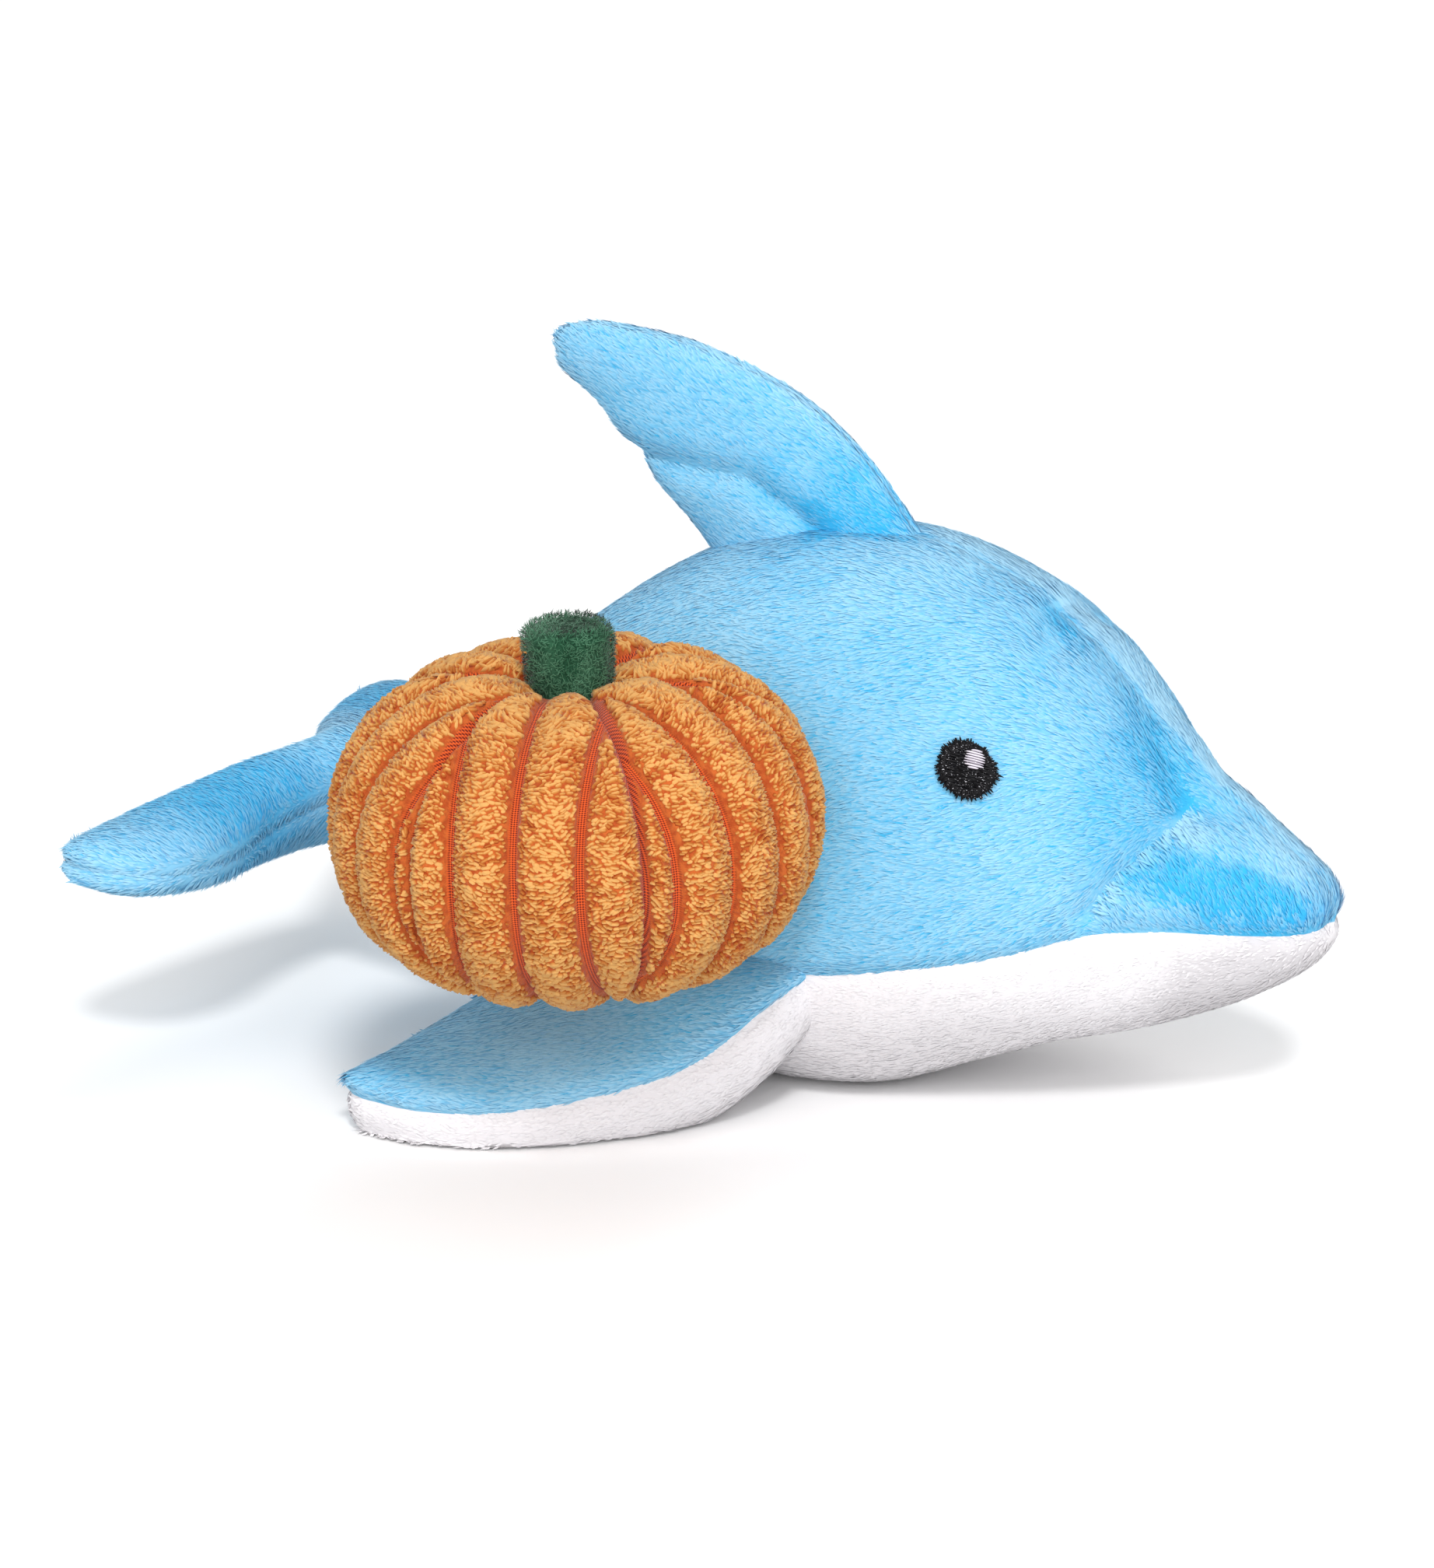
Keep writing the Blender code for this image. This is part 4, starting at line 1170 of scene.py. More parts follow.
@dataclass
class Trunk:
    """The body of the dolphin: two blue sides and the white belly."""

    form: TrunkForm
    rows: int = 150
    side_columns: int = 64
    belly_columns: int = 46
    crowded_share: float = 0.55
    even_share: float = 0.45
    nose_ahead: float = 0.0007
    # Painted sheen: how much paler the strip beside the seam over the head is made
    painted_ridge_sheen: float = 0.58
    tuft_row_ahead: float = 0.0016
    tuft_row_reach: float = 0.0011
    tuft_row_sides: tuple[float, float] = (-0.0075, 0.0130)
    pile: Pile = Pile(0.0026, 0.00048, density=3.3e6, dark_share=0.10)
    tuft_row: Pile = Pile(0.0032, 0.00055, density=3.2e6, stray=0.22,
                          lean=(math.radians(72), math.radians(84)),
                          swirl=0.2, pillow=0.2, tone_shift=0.18, dark_share=0.12)

    def fabric(self, first: Angles, last: Angles, start: float, columns: int, side: float) -> Fabric:
        """The grid of one panel, closed to a point at the snout and tail.

        Args:
            first: angles of the panel's first edge along the body.
            last: angles of its last edge.
            start: where it starts along the body.
            columns: columns of the grid, which crowd up a little beside both edges.
            side: 1 or -1, so that the normals point out of the toy.

        Returns:
            The grid, with the tone of its pile.
        """
        u = np.linspace(start, 1.0, self.rows)
        even = np.linspace(0.0, 1.0, columns)
        share = self.crowded_share * (1.0 - np.cos(np.pi * even)) / 2 + self.even_share * even
        low, high = first(u)[:, None], last(u)[:, None]
        angles = low + (high - low) * share
        points = self.form.at(np.broadcast_to(u[:, None], angles.shape), angles, SEWING.sink)
        front = np.array([1.0])
        nose = self.form.at(front, self.form.side_seam(front), SEWING.sink)[0] * (1.0, 0.0, 1.0)
        rows = [points, np.broadcast_to(nose + (self.nose_ahead, 0.0, 0.0), (1, columns, 3))]
        if start == 0.0:
            end = self.form.point(np.zeros(2), np.array([0.0, math.pi])).mean(axis=0)
            rows.insert(0, np.broadcast_to(end, (1, columns, 3)))
        made = Fabric(np.concatenate(rows), side)
        made.normals[-1], made.along[-1] = (1.0, 0.0, 0.0), made.along[-2]
        made.normals[0], made.along[0] = made.normals[1], made.along[1]
        tone, upright = brushing_and_painted_light(made.points)
        # Painted sheen and rim light along the head's ridge
        pale = self.painted_ridge_sheen * self.ridge_sheen_strip(made.points)
        made.values = {"pile_tone": np.clip(tone + pale, 0.0, 1.0), "pile_upright": upright}
        return made

    def ridge_sheen_strip(self, points: Array) -> Array:
        """How much each point belongs to the strip just left of the seam over the head and snout, which is
        painted paler as sheen and rim light.
        """
        x, y, z = np.moveaxis(points, -1, 0)
        strip = (1.0 - smooth_step(y, 0.0060, 0.0150)) * smooth_step(y, 0.0016, 0.0026)
        return strip * smooth_step(x, 0.0, 0.030) * smooth_step(z, 0.045, 0.052)

    def nap(self, spots: Spots) -> Array:
        """The pile lies towards the tail, and up and back on the snout."""
        points = spots["points"]
        snout = smooth_step(points[:, 0] + 0.6 * (0.055 - points[:, 2]), 0.0740, 0.0800)[:, None]
        return np.array((-1.0, 0.0, -0.22)) * (1.0 - snout) + np.array((-0.55, 0.0, 0.85)) * snout

    def beside_eyes(self, spots: Spots) -> Array:
        """The places that the stitched eyes don't cover."""
        away = np.hypot(spots["points"][:, 0] - Eye.x - 0.0003, spots["points"][:, 2] - Eye.z)
        return away > Eye.radius * 0.98

    def beside_crease(self, spots: Spots) -> Array:
        """The places just ahead of the crease behind the snout, where the pile stands up."""
        points = spots["points"]
        away = distance_to_path(points[:, [0, 2]] - (self.tuft_row_ahead, 0.0), self.form.snout_crease[1:])
        near = away < self.tuft_row_reach + 0.0006 * NOISE.at(points, 0.0021)
        right, left = self.tuft_row_sides
        return near & ((points[:, 1] < right) | (points[:, 1] > left))

    def left_seam(self, u: Array) -> Array:
        """Angle of the seam between the blue left side and the white belly."""
        return 2 * math.pi - self.form.side_seam(u)

    def build(self) -> None:
        """Builds the panels with their cloth and pile."""
        seam = self.form.side_seam
        right = self.fabric(np.zeros_like, seam, 0.0, self.side_columns, -1.0)
        left = self.fabric(lambda u: np.full_like(u, 2 * math.pi), self.left_seam, 0.0,
                           self.side_columns, 1.0)
        belly_start = float(self.form.u_at(np.array([BELLY_END]))[0])
        belly = self.fabric(seam, self.left_seam, belly_start, self.belly_columns, -1.0)
        for word, fabric, seed in (("right", right, 3), ("left", left, 4)):
            cloth = backing(f"body_{word}_cloth", fabric)
            dress(cloth, BLUE, [f"body_side_{word}"])
            pile = self.pile.grow(f"body_{word}_pile", fabric, self.nap, seed, keep=self.beside_eyes)
            dress(pile, BLUE)
            tufts = self.tuft_row.grow(f"snout_{word}_tufts", fabric, toward(-0.75, 0.0, 0.65), seed + 8,
                                       keep=self.beside_crease)
            dress(tufts, BLUE)
        cloth = backing("belly_cloth", belly)
        dress(cloth, WHITE, ["belly_panel", "body_stuffing"])
        dress(WHITE_PILE.grow("belly_pile", belly, toward(-1.0, 0.0, -0.1), 5), WHITE)


@dataclass
class Fin:
    """A fin of the dolphin: two cut panels over a filling.

    Args:
        form: the fin's rounded form.
        trunk: the body, which hides the fin's root.
        panels: names of the two panels.
        finishes: their finishes.
        slots: their slots; not used.
        nap: the direction that the pile lies in.
        stuffing: name of the filling.
        rows: rows of the grid, from root to tip.
        columns: columns of each panel.
        painted_edge_light: how much paler the pile is painted beside the seams, as painted rim light.
    """

    form: FinForm
    trunk: TrunkForm
    panels: tuple[str, str]
    finishes: tuple[PileFinish, PileFinish]
    slots: tuple[str, str]
    nap: Place
    stuffing: str
    rows: int = 70
    columns: int = 40
    painted_edge_light: float = 0.25
    painted_edge_reach: float = 0.0075
    tip_share: float = 0.4
    thin_end: float = 0.003
    root_room: float = 0.0020
    pile: Pile = Pile(0.0025, 0.00048, density=3.3e6, dark_share=0.10)

    def tip(self, last: int, before: int) -> Array:
        """One row of the grid, all at the point that both panels end in.

        Args:
            last: the row beside it.
            before: a row further back, which gives the direction that the fin ends in.
        """
        u = np.linspace(0.0, 1.0, self.rows)[[last, last, before, before]]
        points = self.form.at(u, np.array((0.0, math.pi, 0.0, math.pi)), SEWING.sink)
        end, inner = points[:2].mean(axis=0), points[2:].mean(axis=0)
        return np.broadcast_to(end + self.tip_share * (end - inner), (1, self.columns, 3))

    def fabric(self, number: int) -> Fabric:
        """The grid of the first or second panel, with the tone of its pile."""
        angles = np.linspace(number * math.pi, (number + 1) * math.pi, self.columns)
        u, around = np.meshgrid(np.linspace(0.0, 1.0, self.rows), angles, indexing="ij")
        points = self.form.at(u, around, SEWING.sink)
        closed = int(self.form.rows[0, 6] < self.thin_end)
        made = Fabric(np.concatenate([self.tip(0, 2)] * closed + [points, self.tip(-1, -3)]),
                      self.form.outward)
        tone = np.full(made.points.shape[:2], 0.5)
        # Painted rim light: the pile beside both seams is made paler
        if self.finishes[number] is not WHITE:
            seams = (self.form.point(u, np.full_like(u, turn)) for turn in (0.0, math.pi))
            near = np.min([np.linalg.norm(points - seam, axis=-1) for seam in seams], axis=0)
            pale = np.pad(self.painted_edge_light * falloff(near, self.painted_edge_reach), ((closed, 1), (0, 0)), mode="edge")
            tone = np.clip(brushing_and_painted_light(made.points)[0] + pale, 0.0, 1.0)
        made.values = {"pile_tone": tone}
        return made

    def build(self) -> None:
        """Builds both panels with their cloth and pile."""
        for number, (name, finish, slot) in enumerate(zip(self.panels, self.finishes, self.slots)):
            fabric = self.fabric(number)
            cloth = backing(f"{name}_cloth", fabric)
            dress(cloth, finish, [name] if number else [name, self.stuffing])
            kind = WHITE_PILE if finish is WHITE else self.pile
            pile = kind.grow(f"{name}_pile", fabric, toward(*self.nap), 20 + len(name) + number,
                             keep=lambda spots: ~self.trunk.holds(spots["points"], self.root_room))
            dress(pile, finish)


# Eyes


@dataclass
class Eye:
    """A satin-stitched eye: black threads laid side by side, with a ragged rim and a pale glint.

    Args:
        trunk: the body that it is stitched on.
        side: 1 for the right eye and -1 for the left one.
        word: the side in the names of its pieces.
    """

    trunk: TrunkForm
    side: float
    word: str
    x: float = 0.0454
    z: float = 0.0706
    radius: float = 0.0051
    thread_width: float = 0.00038
    thread_rows: int = 25
    stitch_length: float = 0.0030
    rim_threads: int = 150
    rim_inside: float = 0.62
    rim_outside: float = 0.97
    rim_ragged: float = 0.17
    corner_spike: float = 0.16
    corner_turn: float = 0.12
    pad_height: float = 0.0007
    pad_points: int = 40
    pad_rings: tuple[float, ...] = (0.0, 0.35, 0.7, 0.96)
    glint_radius: float = 0.0017
    glint_ahead: float = 0.0011
    glint_above: float = 0.0021
    glint_threads: int = 8
    glint_thread_width: float = 0.00042
    glint_squareness: float = 3.0
    steps: int = 7
    # Cross-section of a thread: offset, rise and tone; the low tone at both edges is painted shade between
    # threads
    profile: tuple[Place, ...] = ((-1.0, 0.0, 0.0), (-0.5, 0.8, 0.9), (0.5, 0.8, 1.0), (1.0, 0.0, 0.1))

    def place(self, flat: Array, lift: Array) -> Array:
        """Points on the head from flat ones round the eye's centre, x ahead and y up.

        Args:
            flat: the flat places in metres.
            lift: how far each is above the fabric.
        """
        u0, angle0 = self.trunk.on_flank(np.array([self.x]), np.array([self.z]))
        step = 0.01
        ends = (self.trunk.point(u0, angle0 + turn) for turn in (step, -step))
        around = np.linalg.norm(np.subtract(*ends)) / (2 * step)
        u = self.trunk.u_at(self.x + flat[..., 0])
        angle = angle0 - flat[..., 1] / around
        points = self.trunk.point(u, angle) + self.trunk.normal(u, angle) * lift[..., None]
        return points * np.array((1.0, self.side, 1.0))

    def outward(self, quads: Array) -> Array:
        """Faces turned to point out of the head."""
        return quads[:, ::-1] if self.side > 0 else quads

    def stitches(self, name: str, starts: Array, ends: Array, width: float, lift: float, swell: float,
                 rng: np.random.Generator) -> bpy.types.Object:
        """Threads that arch up in their middle, each a rounded strip.

        Args:
            name: name of the new piece.
            starts: flat places that they come up at.
            ends: flat places that they go down at.
            width: width of a thread.
            lift: height of their ends above the fabric.
            swell: how much higher their middles are.
            rng: the seeded source of chance.

        Returns:
            The threads as one mesh object.
        """
        count, sides = len(starts), len(self.profile)
        offsets, rises, tones = np.array(self.profile).T
        along = np.linspace(0.0, 1.0, self.steps)
        run = ends - starts
        across = unit(np.stack((-run[:, 1], run[:, 0]), axis=-1))
        arch = np.sin(np.pi * np.clip(along, 0.02, 0.98)) ** 0.4
        taper = (0.35 + 0.65 * np.sin(np.pi * along) ** 0.35)[:, None]
        flat = (starts[:, None, None] + run[:, None, None] * along[None, :, None, None]
                + across[:, None, None] * (offsets * taper * width / 2)[None, ..., None])
        height = lift + swell * arch[:, None] + width * 0.45 * rises * taper
        height = height + rng.normal(0.0, 0.00006, count)[:, None, None]
        verts = self.place(flat, height).reshape(-1, 3)
        index = np.arange(count * self.steps * sides).reshape(count, self.steps, sides)
        corners = (index[:, :-1, :-1], index[:, 1:, :-1], index[:, 1:, 1:], index[:, :-1, 1:])
        quads = self.outward(np.stack(corners, -1).reshape(-1, 4))
        # Each thread's tone: the profile's dark edges, painted shade between threads, times a random tone of its
        # own
        shades = (0.55 + 0.45 * rng.random(count))[:, None, None]
        tone = np.broadcast_to(tones, (count, self.steps, sides)) * shades
        map_side = max(1, math.ceil(math.sqrt(count)))
        thread = np.repeat(np.arange(count), self.steps * sides)
        cell = np.stack((thread % map_side, thread // map_side), -1)
        local = np.stack(np.meshgrid(along, np.linspace(0.05, 0.95, sides), indexing="ij"), -1).reshape(-1, 2)
        uv = (cell + 0.06 + 0.88 * np.tile(local, (count, 1))) / map_side
        return mesh_object(name, verts, quads, uv[quads.ravel()], {"thread_tone_and_shade": tone.ravel()})

    def filling(self, rng: np.random.Generator) -> tuple[Array, Array]:
        """Upright rows of stitches over the disc: where each starts, and where it ends."""
        starts, ends = [], []
        for x in np.linspace(-0.93, 0.93, self.thread_rows) * self.radius:
            half = math.sqrt(max(self.radius**2 - x * x, 0.0)) * 0.93
            cuts = np.linspace(-half, half, max(2, round(2 * half / self.stitch_length) + 1))
            cuts[1:-1] += rng.normal(0.0, 0.0004, len(cuts) - 2)
            for low, high in zip(cuts[:-1], cuts[1:]):
                starts.append((low, x + rng.normal(0, 0.00006)))
                ends.append((high + 0.0003, x + rng.normal(0, 0.00012)))
        return np.array(starts), np.array(ends)

    def rim(self, rng: np.random.Generator) -> tuple[Array, Array]:
        """Stitches that stand out round the disc, with a longer corner ahead: their starts and ends."""
        count = self.rim_threads
        turn = (np.arange(count) + rng.random(count)) * 2 * math.pi / count
        outer = self.radius * (self.rim_outside + self.rim_ragged * rng.random(count) ** 1.6)
        past_corner = (turn - self.corner_turn + math.pi) % (2 * math.pi) - math.pi
        outer = outer * (1.0 + self.corner_spike * np.exp(-((past_corner / 0.09) ** 2)))
        direction = np.stack((np.cos(turn), np.sin(turn)), -1)
        return direction * (self.radius * self.rim_inside), direction * outer[:, None]

    def pad(self) -> bpy.types.Object:
        """The low black pad under the stitches."""
        turn = np.linspace(0.0, 2 * math.pi, self.pad_points + 1)[:-1]
        rings = np.array(self.pad_rings)
        flat = rings[:, None, None] * self.radius * np.stack((np.cos(turn), np.sin(turn)), -1)[None]
        lift = np.broadcast_to((self.pad_height * (1 - rings**3) - 0.0002)[:, None], flat.shape[:-1])
        index = np.arange(len(rings) * self.pad_points).reshape(len(rings), -1)
        after = np.roll(index, -1, axis=1)
        quads = self.outward(np.stack((index[:-1], index[1:], after[1:], after[:-1]), -1).reshape(-1, 4))
        uv = (flat.reshape(-1, 2) / (self.radius * 2.1) + 0.5)[quads.ravel()]
        return mesh_object(f"eye_{self.word}_pad", self.place(flat, lift).reshape(-1, 3), quads, uv, {})

    def glint(self, rng: np.random.Generator) -> tuple[Array, Array]:
        """Level stitches of the glint: their starts and ends."""
        lines = np.linspace(-0.93, 0.93, self.glint_threads) * self.glint_radius
        power = self.glint_squareness
        half = self.glint_radius * (1.0 - np.abs(lines / self.glint_radius) ** power) ** (1 / power)
        centre = np.array((self.glint_ahead, self.glint_above))
        shake = rng.normal(0.0, 0.00010, (2, len(lines)))
        return (np.stack((-half + shake[0], lines - 0.0001), -1) + centre,
                np.stack((half + shake[1], lines + 0.0001), -1) + centre)

    def build(self) -> None:
        """Builds the black threads, the pad under them and the glint."""
        rng = np.random.default_rng(41 if self.side > 0 else 42)
        filling, rim = self.filling(rng), self.rim(rng)
        starts, ends = (np.concatenate(pair) for pair in zip(rim, filling))
        black = self.stitches(f"eye_{self.word}_threads", starts, ends, self.thread_width,
                              0.0001, 0.0006, rng)
        dress(black, BLACK_THREAD)
        dress(self.pad(), BLACK_THREAD, [f"eye_{self.word}"])
        pale = self.stitches(f"eye_{self.word}_glint_threads", *self.glint(rng),
                             self.glint_thread_width, 0.00085,
                             0.0003, rng)
        dress(pale, LILAC_THREAD, [f"eye_{self.word}_glint"])


# The pumpkin


@dataclass
class Pumpkin:
    """A stuffed pumpkin of ribbed plush with a green fleece stem, pressed against the body's right flank."""

    trunk: TrunkForm
    x: float = -0.0118
    z: float = 0.0662
    radius: float = 0.0442
    half_height: float = 0.0305
    side_power: float = 0.80
    top_power: float = 0.92
    press: float = 0.0040
    lean: float = math.radians(5.0)
    gores: int = 6
    rib_pitch: float = 0.0125
    rib_depth: float = 0.0030
    rib_power: float = 0.50
    rib_fade: float = 0.0200
    rib_shifts: tuple[float, ...] = (0.0015, 0.0045, 0.0080, 0.0110, 0.0020, 0.0065)
    first_gore: float = math.radians(-78.0)
    middle_hole: float = 0.0012
    dimple_depth: float = 0.0062
    dimple_reach: float = 0.0125
    seam_extra: float = 0.0006
    seam_reach: float = 0.0036
    seam_shift: float = 0.0006
    stem_radius: float = 0.0077
    stem_tip_radius: float = 0.0083
    stem_above: float = 0.0107
    stem_below: float = 0.0040
    stem_corner: float = 0.0026
    stem_wall: float = 0.0008
    ground_width: float = 0.0015
    ground_beside_stem: float = 0.0030
    weave: tuple[float, float] = (0.00062, 0.00050)
    nub: float = 0.00022
    cloth_sink: float = 0.0004
    flank_room: float = 0.0003
    bare_beside_groove: float = 0.0014
    bare_beside_seam: float = 0.0012
    bare_beside_flank: float = 0.0012
    rows: int = 120
    columns: int = 110
    pile: Pile = Pile(0.0019, 0.00092, courses=(0.00067, 0.00112), tuft=Tuft.NUB, stray=0.32, swirl=0.65,
                      swirl_cell=0.0036, uneven=0.26, pillow=1.0, tone_spread=0.17)
    stem_pile: Pile = Pile(0.0017, 0.00020, density=6.5e6, stray=1.3,
                           lean=(math.radians(30), math.radians(75)),
                           swirl=1.2, swirl_cell=0.003, pillow=0.5)

    def __post_init__(self) -> None:
        """Works out where the pumpkin sits against the flank."""
        flank = float(self.trunk.flank(np.array([self.x]), np.array([self.z]))[0])
        y = -(flank + self.radius - self.press)
        self.frame = np.array(Matrix.Translation((self.x, y, self.z)) @ Matrix.Rotation(self.lean, 4, "X"))

    def meridian(self, latitude: Array) -> tuple[Array, Array]:
        """Radius and height of the smooth form at a latitude, with a dimple at each end."""
        radius = self.radius * np.abs(np.cos(latitude)) ** self.side_power
        height = self.half_height * signed_power(np.sin(latitude), self.top_power)
        dimple = self.dimple_depth * np.exp(-((radius / self.dimple_reach) ** 2))
        return radius, height - np.copysign(dimple, height)

    def smooth(self, latitude: Array, longitude: Array) -> Array:
        """Points of the smooth form in the pumpkin's own frame."""
        radius, height = self.meridian(latitude)
        return np.stack((radius * np.cos(longitude), radius * np.sin(longitude), height), axis=-1)

    def placed(self, local: Array) -> Array:
        """Points of the pumpkin's own frame, where it hangs."""
        return local @ self.frame[:3, :3].T + self.frame[:3, 3]

    def place(self, latitude: Array, longitude: Array, depth: Array) -> Array:
        """Points at a depth under the smooth form, pushed back to where the flank holds them off."""
        step = 0.01
        along = self.smooth(latitude + step, longitude) - self.smooth(latitude - step, longitude)
        across = self.smooth(latitude, longitude + step) - self.smooth(latitude, longitude - step)
        local = self.smooth(latitude, longitude) - unit(np.cross(across, along)) * depth[..., None]
        world = self.placed(local)
        held = -(self.trunk.flank(world[..., 0], world[..., 2]) + self.flank_room + np.maximum(depth, 0.0))
        world[..., 1] = np.minimum(world[..., 1], held)
        return world

    def latitude_of(self, radius: float, sign: float) -> float:
        """Latitude where the smooth form has this radius."""
        return sign * math.acos(min(radius / self.radius, 1.0) ** (1 / self.side_power))

    def gore(self, number: int) -> Fabric:
        """One gore. Its ribs run parallel to its middle line, and the seams cut across the outer ones."""
        low = self.latitude_of(self.middle_hole, -1.0)
        high = self.latitude_of(self.stem_radius * 0.7, 1.0)
        wide = 2 * math.pi / self.gores
        latitude, share = np.meshgrid(np.linspace(low, high, self.rows), np.linspace(-1.0, 1.0, self.columns),
                                      indexing="ij")
        radius = self.meridian(latitude)[0]
        edge = radius * wide / 2
        distance = share * edge
        phase = (distance + self.rib_shifts[number % len(self.rib_shifts)]) / self.rib_pitch
        off_groove = (phase - np.round(phase)) * self.rib_pitch
        to_groove = np.abs(off_groove)
        to_seam = edge - np.abs(distance)
        half_ground = self.ground_width / 2
        crown = np.clip((to_groove - half_ground) / (self.rib_pitch / 2 - half_ground), 0.0, 1.0)
        groove = self.rib_depth * (1.0 - np.sin(np.pi / 2 * crown) ** self.rib_power)
        seam = (self.rib_depth + self.seam_extra) * falloff(to_seam, self.seam_reach)
        own = np.stack((distance, latitude * self.radius, np.full_like(distance, number * 0.05)), axis=-1)
        nub = self.nub * (NOISE.at(own * (0.55, 1.6, 1.0), 0.0011) + 0.6 * WARP.at(own, 0.0023))
        to_seam = to_seam - self.seam_shift * smooth_step(latitude, math.radians(20), math.radians(50))
        bare = 1.0 - smooth_step(to_groove, self.ground_width * 0.42, self.ground_width * 0.58)
        bare = np.maximum(bare, 1.0 - smooth_step(to_seam, 0.0004, 0.0007))
        bare = bare * np.where(radius > self.stem_radius + self.ground_beside_stem, 1.0, 0.0)
        depth = np.maximum(groove * np.minimum(1.0, radius / self.rib_fade), seam)
        depth = depth + nub * (1.0 - bare) + self.cloth_sink
        longitude = self.first_gore + number * wide + distance / radius
        made = Fabric(self.place(latitude, longitude, depth), -1.0)
        made.values = {
            "pile_bare": bare,
            # Tone uneven at random, and deeper towards the grooves as painted shade in them
            "pile_tone": np.clip(0.52 + 0.10 * NOISE.at(own, 0.006) - 0.16 * (1.0 - crown) ** 2, 0.0, 1.0),
            "pile_worn": np.clip(1.2 * (1.0 - crown) ** 2, 0.0, 1.0),
            "pile_long": smooth_step(np.sin(latitude), 0.72, 0.95),
            "off_groove": off_groove,
            "to_seam": to_seam,
            "weave_along": latitude * self.radius / self.weave[0],
            "weave_across": distance / self.weave[1],
        }
        return made

    def nap(self, spots: Spots) -> Array:
        """The chenille lies across the ribs, and its longer tufts beside the stem lie every way."""
        across = np.cross(spots["normals"], spots["along"])
        stray = (spots["pile_long"] * 1.6 * NOISE.at(spots["points"], 0.0030))[:, None]
        return across + stray * spots["along"]

    def keeps(self, spots: Spots) -> Array:
        """Which roots are not on the bare ground and not pressed against the flank."""
        points = spots["points"]
        free = self.trunk.flank(points[:, 0], points[:, 2]) + self.bare_beside_flank < -points[:, 1]
        on_rib = np.abs(spots["off_groove"]) > self.bare_beside_groove
        return on_rib & (spots["to_seam"] > self.bare_beside_seam) & free

    def build_gores(self) -> None:
        """Builds the gores with their ground and chenille."""
        for number in range(self.gores):
            fabric = self.gore(number)
            node = f"pumpkin_gore_{number + 1}"
            cloth = backing(f"{node}_ground", fabric)
            dress(cloth, ORANGE_GROUND, [node] if number else [node, "pumpkin_stuffing"])
            pile = self.pile.grow(f"{node}_chenille", fabric, self.nap, 70 + number, keep=self.keeps)
            dress(pile, ORANGE_TUFTS)

    def stem_profile(self) -> Array:
        """Radius and height of the stem's cloth: up the wall, round the corner and in over the flat top."""
        rim = float(self.meridian(np.array(self.latitude_of(self.stem_radius, 1.0)))[1])
        foot, top = rim - self.stem_below, rim + self.stem_above
        start, wall = self.stem_radius - 0.0010, self.stem_tip_radius - self.stem_wall
        bend, cap = top - self.stem_corner, top - self.stem_wall
        profile = [(start + (wall - start) * t, foot + (bend - foot) * t)
                   for t in (0.0, *np.linspace(0.1, 1.0, 12))]
        profile += [(wall - self.stem_corner * (1 - math.cos(a)), bend + (cap - bend) * math.sin(a))
                    for a in np.linspace(0.2, math.pi / 2, 6)]
        return np.array(profile + [(wall * t, cap - 0.0002 * (1 - t)) for t in (0.5, 0.3, 0.12, 0.01)])

    def build_stem(self) -> None:
        """Builds the padded stem: a soft cylinder of fleece with a flat top."""
        rings = self.stem_profile()
        turn = np.linspace(0.0, 2 * math.pi, 49)
        local = np.stack((rings[:, :1] * np.cos(turn), rings[:, :1] * np.sin(turn),
                          np.broadcast_to(rings[:, 1:], (len(rings), len(turn)))), axis=-1)
        local[..., :2] *= 1.0 + 0.03 * NOISE.at(local, 0.006)[..., None]
        fabric = Fabric(self.placed(local), -1.0)
        fabric.values = {"pile_tone": np.clip(0.5 + 0.2 * NOISE.at(fabric.points, 0.003), 0, 1)}
        cloth = backing("pumpkin_stem_cloth", fabric)
        dress(cloth, GREEN, ["pumpkin_stem"])
        fleece = self.stem_pile.grow("pumpkin_stem_fleece", fabric, toward(0.3, 0.2, 1.0), 91)
        dress(fleece, GREEN)


# Room, light and camera


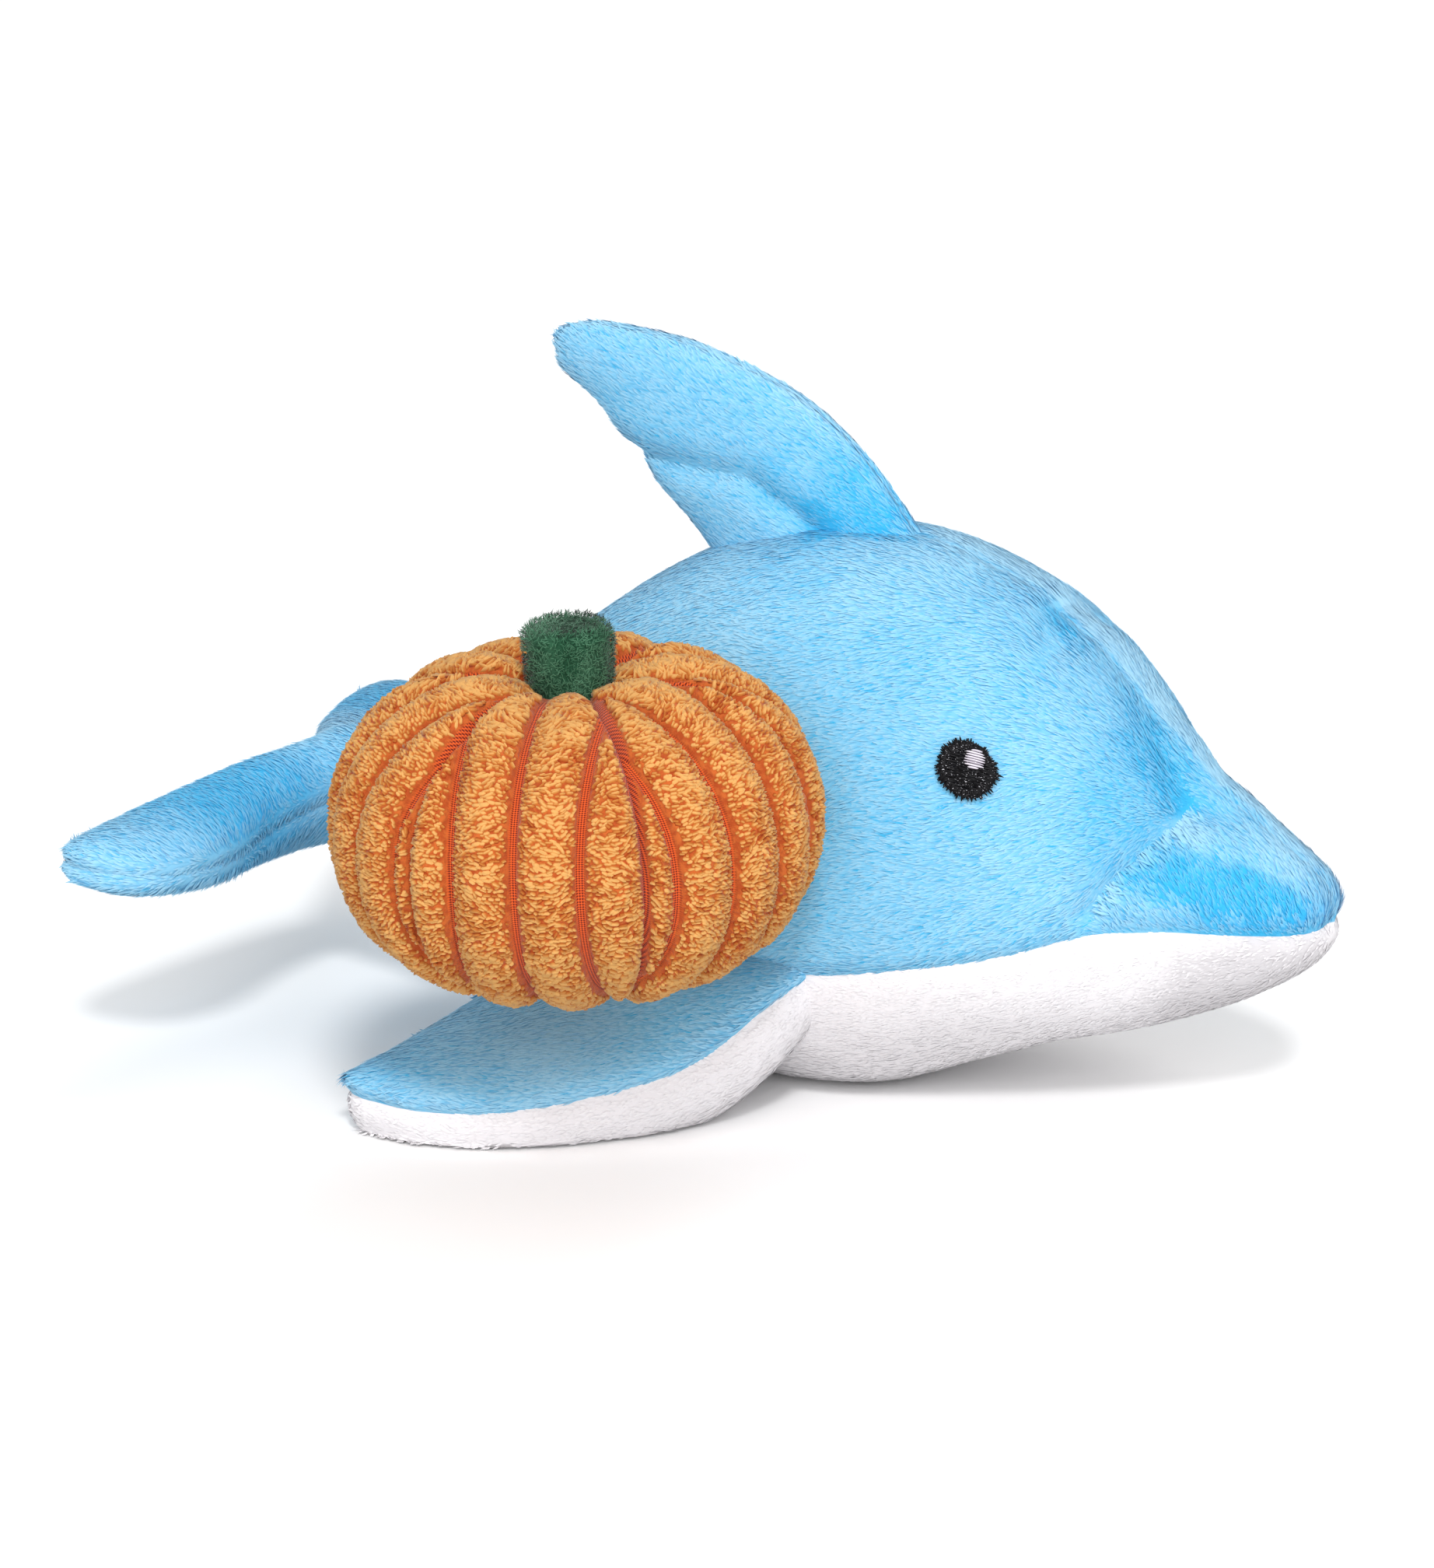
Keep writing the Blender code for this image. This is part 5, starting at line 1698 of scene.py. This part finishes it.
@dataclass
class Studio:
    """A plain pale floor, soft light and the camera of the photograph."""

    target: Place = (-0.02299, 0.00443, 0.04999)
    camera_at: Place = (0.40918, -0.96623, 0.33469)
    lens: float = 130.95
    sensor: float = 36.0
    floor_size: float = 12.0
    floor_shade: float = 0.80
    world_level: float = 0.64
    sun_power: float = 1.5
    sun_from: Place = (0.34, -0.65, 0.68)
    sun_spread: float = math.radians(9.0)
    fill_power: float = 10.5
    fill_from: Place = (0.60, -1.28, 0.45)
    rim_power: float = 6.0
    rim_from: Place = (0.20, 0.95, 1.80)
    panel_size: float = 1.1

    def build_camera(self) -> None:
        """Puts the camera where the photograph was taken."""
        data = bpy.data.cameras.new("camera")
        data.lens, data.sensor_width = self.lens, self.sensor
        data.clip_start, data.clip_end = 0.05, 20.0
        camera = bpy.data.objects.new("camera", data)
        bpy.context.scene.collection.objects.link(camera)
        camera.location = self.camera_at
        camera.rotation_mode = "QUATERNION"
        camera.rotation_quaternion = (Vector(self.target) - Vector(self.camera_at)).to_track_quat("-Z", "Y")
        bpy.context.scene.camera = camera

    def build_floor(self) -> None:
        """A pale floor that shows white and keeps the shadow."""
        square = np.array(((0, 0), (1, 0), (1, 1), (0, 1)), dtype=float)
        verts = np.column_stack(((square - 0.5) * self.floor_size, np.zeros(4)))
        floor = mesh_object("floor", verts, np.array(((0, 1, 2, 3),)), square, {})
        made = bpy.data.materials.new("pale_floor")
        made.use_nodes = True
        nodes = made.node_tree.nodes
        nodes.remove(nodes["Principled BSDF"])
        tree = Tree(made.node_tree)
        matt = tree.node("ShaderNodeBsdfDiffuse")
        pale, white = (self.floor_shade,) * 3 + (1.0,), (1.0, 1.0, 1.0, 1.0)
        tree.link(tree.mix(tree.seen(), pale, white), matt.inputs["Color"])
        tree.link(matt.outputs[0], nodes["Material Output"].inputs["Surface"])
        floor.data.materials.append(made)

    def build_world(self) -> None:
        """Soft light from all round, with white behind it."""
        world = bpy.data.worlds.new("studio")
        bpy.context.scene.world = world
        world.use_nodes = True
        tree = Tree(world.node_tree)
        level = tree.math("ADD", self.world_level, tree.math("MULTIPLY", tree.seen(), 1.0 - self.world_level))
        sky = world.node_tree.nodes["Background"]
        tree.feed(sky.inputs, {"Strength": level, "Color": (1.0, 1.0, 1.0, 1.0)})

    def add_light(self, name: str, kind: str, place: Place, power: float) -> bpy.types.Light:
        """Adds a lamp that shines on the toy.

        Args:
            name: name of the lamp.
            kind: "SUN" or "AREA".
            place: where it stands.
            power: its strength.

        Returns:
            The lamp's data, for its size.
        """
        data = bpy.data.lights.new(name, kind)
        data.energy = power
        lamp = bpy.data.objects.new(name, data)
        bpy.context.scene.collection.objects.link(lamp)
        lamp.location = place
        lamp.rotation_mode = "QUATERNION"
        lamp.rotation_quaternion = Vector(place).to_track_quat("Z", "Y")
        return data

    def build_lights(self) -> None:
        """A broad lamp from the front right, a large panel low beside it, and a weaker one high behind."""
        self.add_light("key", "SUN", self.sun_from, self.sun_power).angle = self.sun_spread
        self.add_light("fill", "AREA", self.fill_from, self.fill_power).size = self.panel_size
        self.add_light("rim", "AREA", self.rim_from, self.rim_power).size = self.panel_size

    def build(self) -> None:
        """Builds the whole studio."""
        self.build_camera()
        self.build_floor()
        self.build_world()
        self.build_lights()
        bpy.context.scene.view_settings.view_transform = "Standard"


# The whole toy


def fluke_form() -> FinForm:
    """The form of both flukes, from the near tip to the far one."""
    turn = Matrix.Rotation(FLUKE_TURN, 3, "Z")

    def turned(rib: Rib, side: float) -> Rib:
        """A rib of one half, turned a little about the tail."""
        leading, trailing = (tuple(turn @ Vector((x, side * y, z)))
                             for x, y, z in (rib.leading, rib.trailing))
        return Rib(leading, trailing, rib.rise, rib.drop)

    near = [turned(rib, 1.0) for rib in reversed(FLUKE_RIBS)]
    far = [turned(rib, -1.0) for rib in FLUKE_RIBS[1:]]
    return FinForm(near + far, (0.0, 0.0, 1.0))


def fins(trunk: TrunkForm) -> list[Fin]:
    """The back fin, both flippers and the flukes."""
    blue, white = "blue_plush", "white_plush"
    made = [Fin(FinForm(DORSAL_RIBS, (0.0, -1.0, 0.0), path=DORSAL_FOLD), trunk,
                ("dorsal_fin_right", "dorsal_fin_left"), (BLUE, BLUE), (blue, blue), (-0.85, 0.0, 0.5),
                "dorsal_fin_stuffing", painted_edge_light=0.40)]
    for word, side in (("right", 1.0), ("left", -1.0)):
        made.append(Fin(FinForm(FLIPPER_RIBS, (0.0, -0.2, 1.0), side), trunk,
                        (f"flipper_{word}_top", f"flipper_{word}_underside"), (BLUE, WHITE), (blue, white),
                        (-0.8, -0.5 * side, 0.0), f"flipper_{word}_stuffing"))
    made.append(Fin(fluke_form(), trunk, ("fluke_top", "fluke_underside"), (BLUE, BLUE), (blue, blue),
                    (-1.0, 0.0, 0.0), "fluke_stuffing", rows=140))
    return made


def main() -> None:
    """Builds the studio and every piece in order."""
    logging.basicConfig(level=logging.INFO, format="%(message)s")
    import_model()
    Studio().build()
    make_pile_colour()
    make_fibre_height()
    trunk = TrunkForm()
    Trunk(trunk).build()
    for fin in fins(trunk):
        fin.build()
    for word, side in (("right", 1.0), ("left", -1.0)):
        Eye(trunk, side, word).build()
    pumpkin = Pumpkin(trunk)
    pumpkin.build_gores()
    pumpkin.build_stem()
    bpy.context.view_layer.update()


if __name__ == "__main__":
    main()
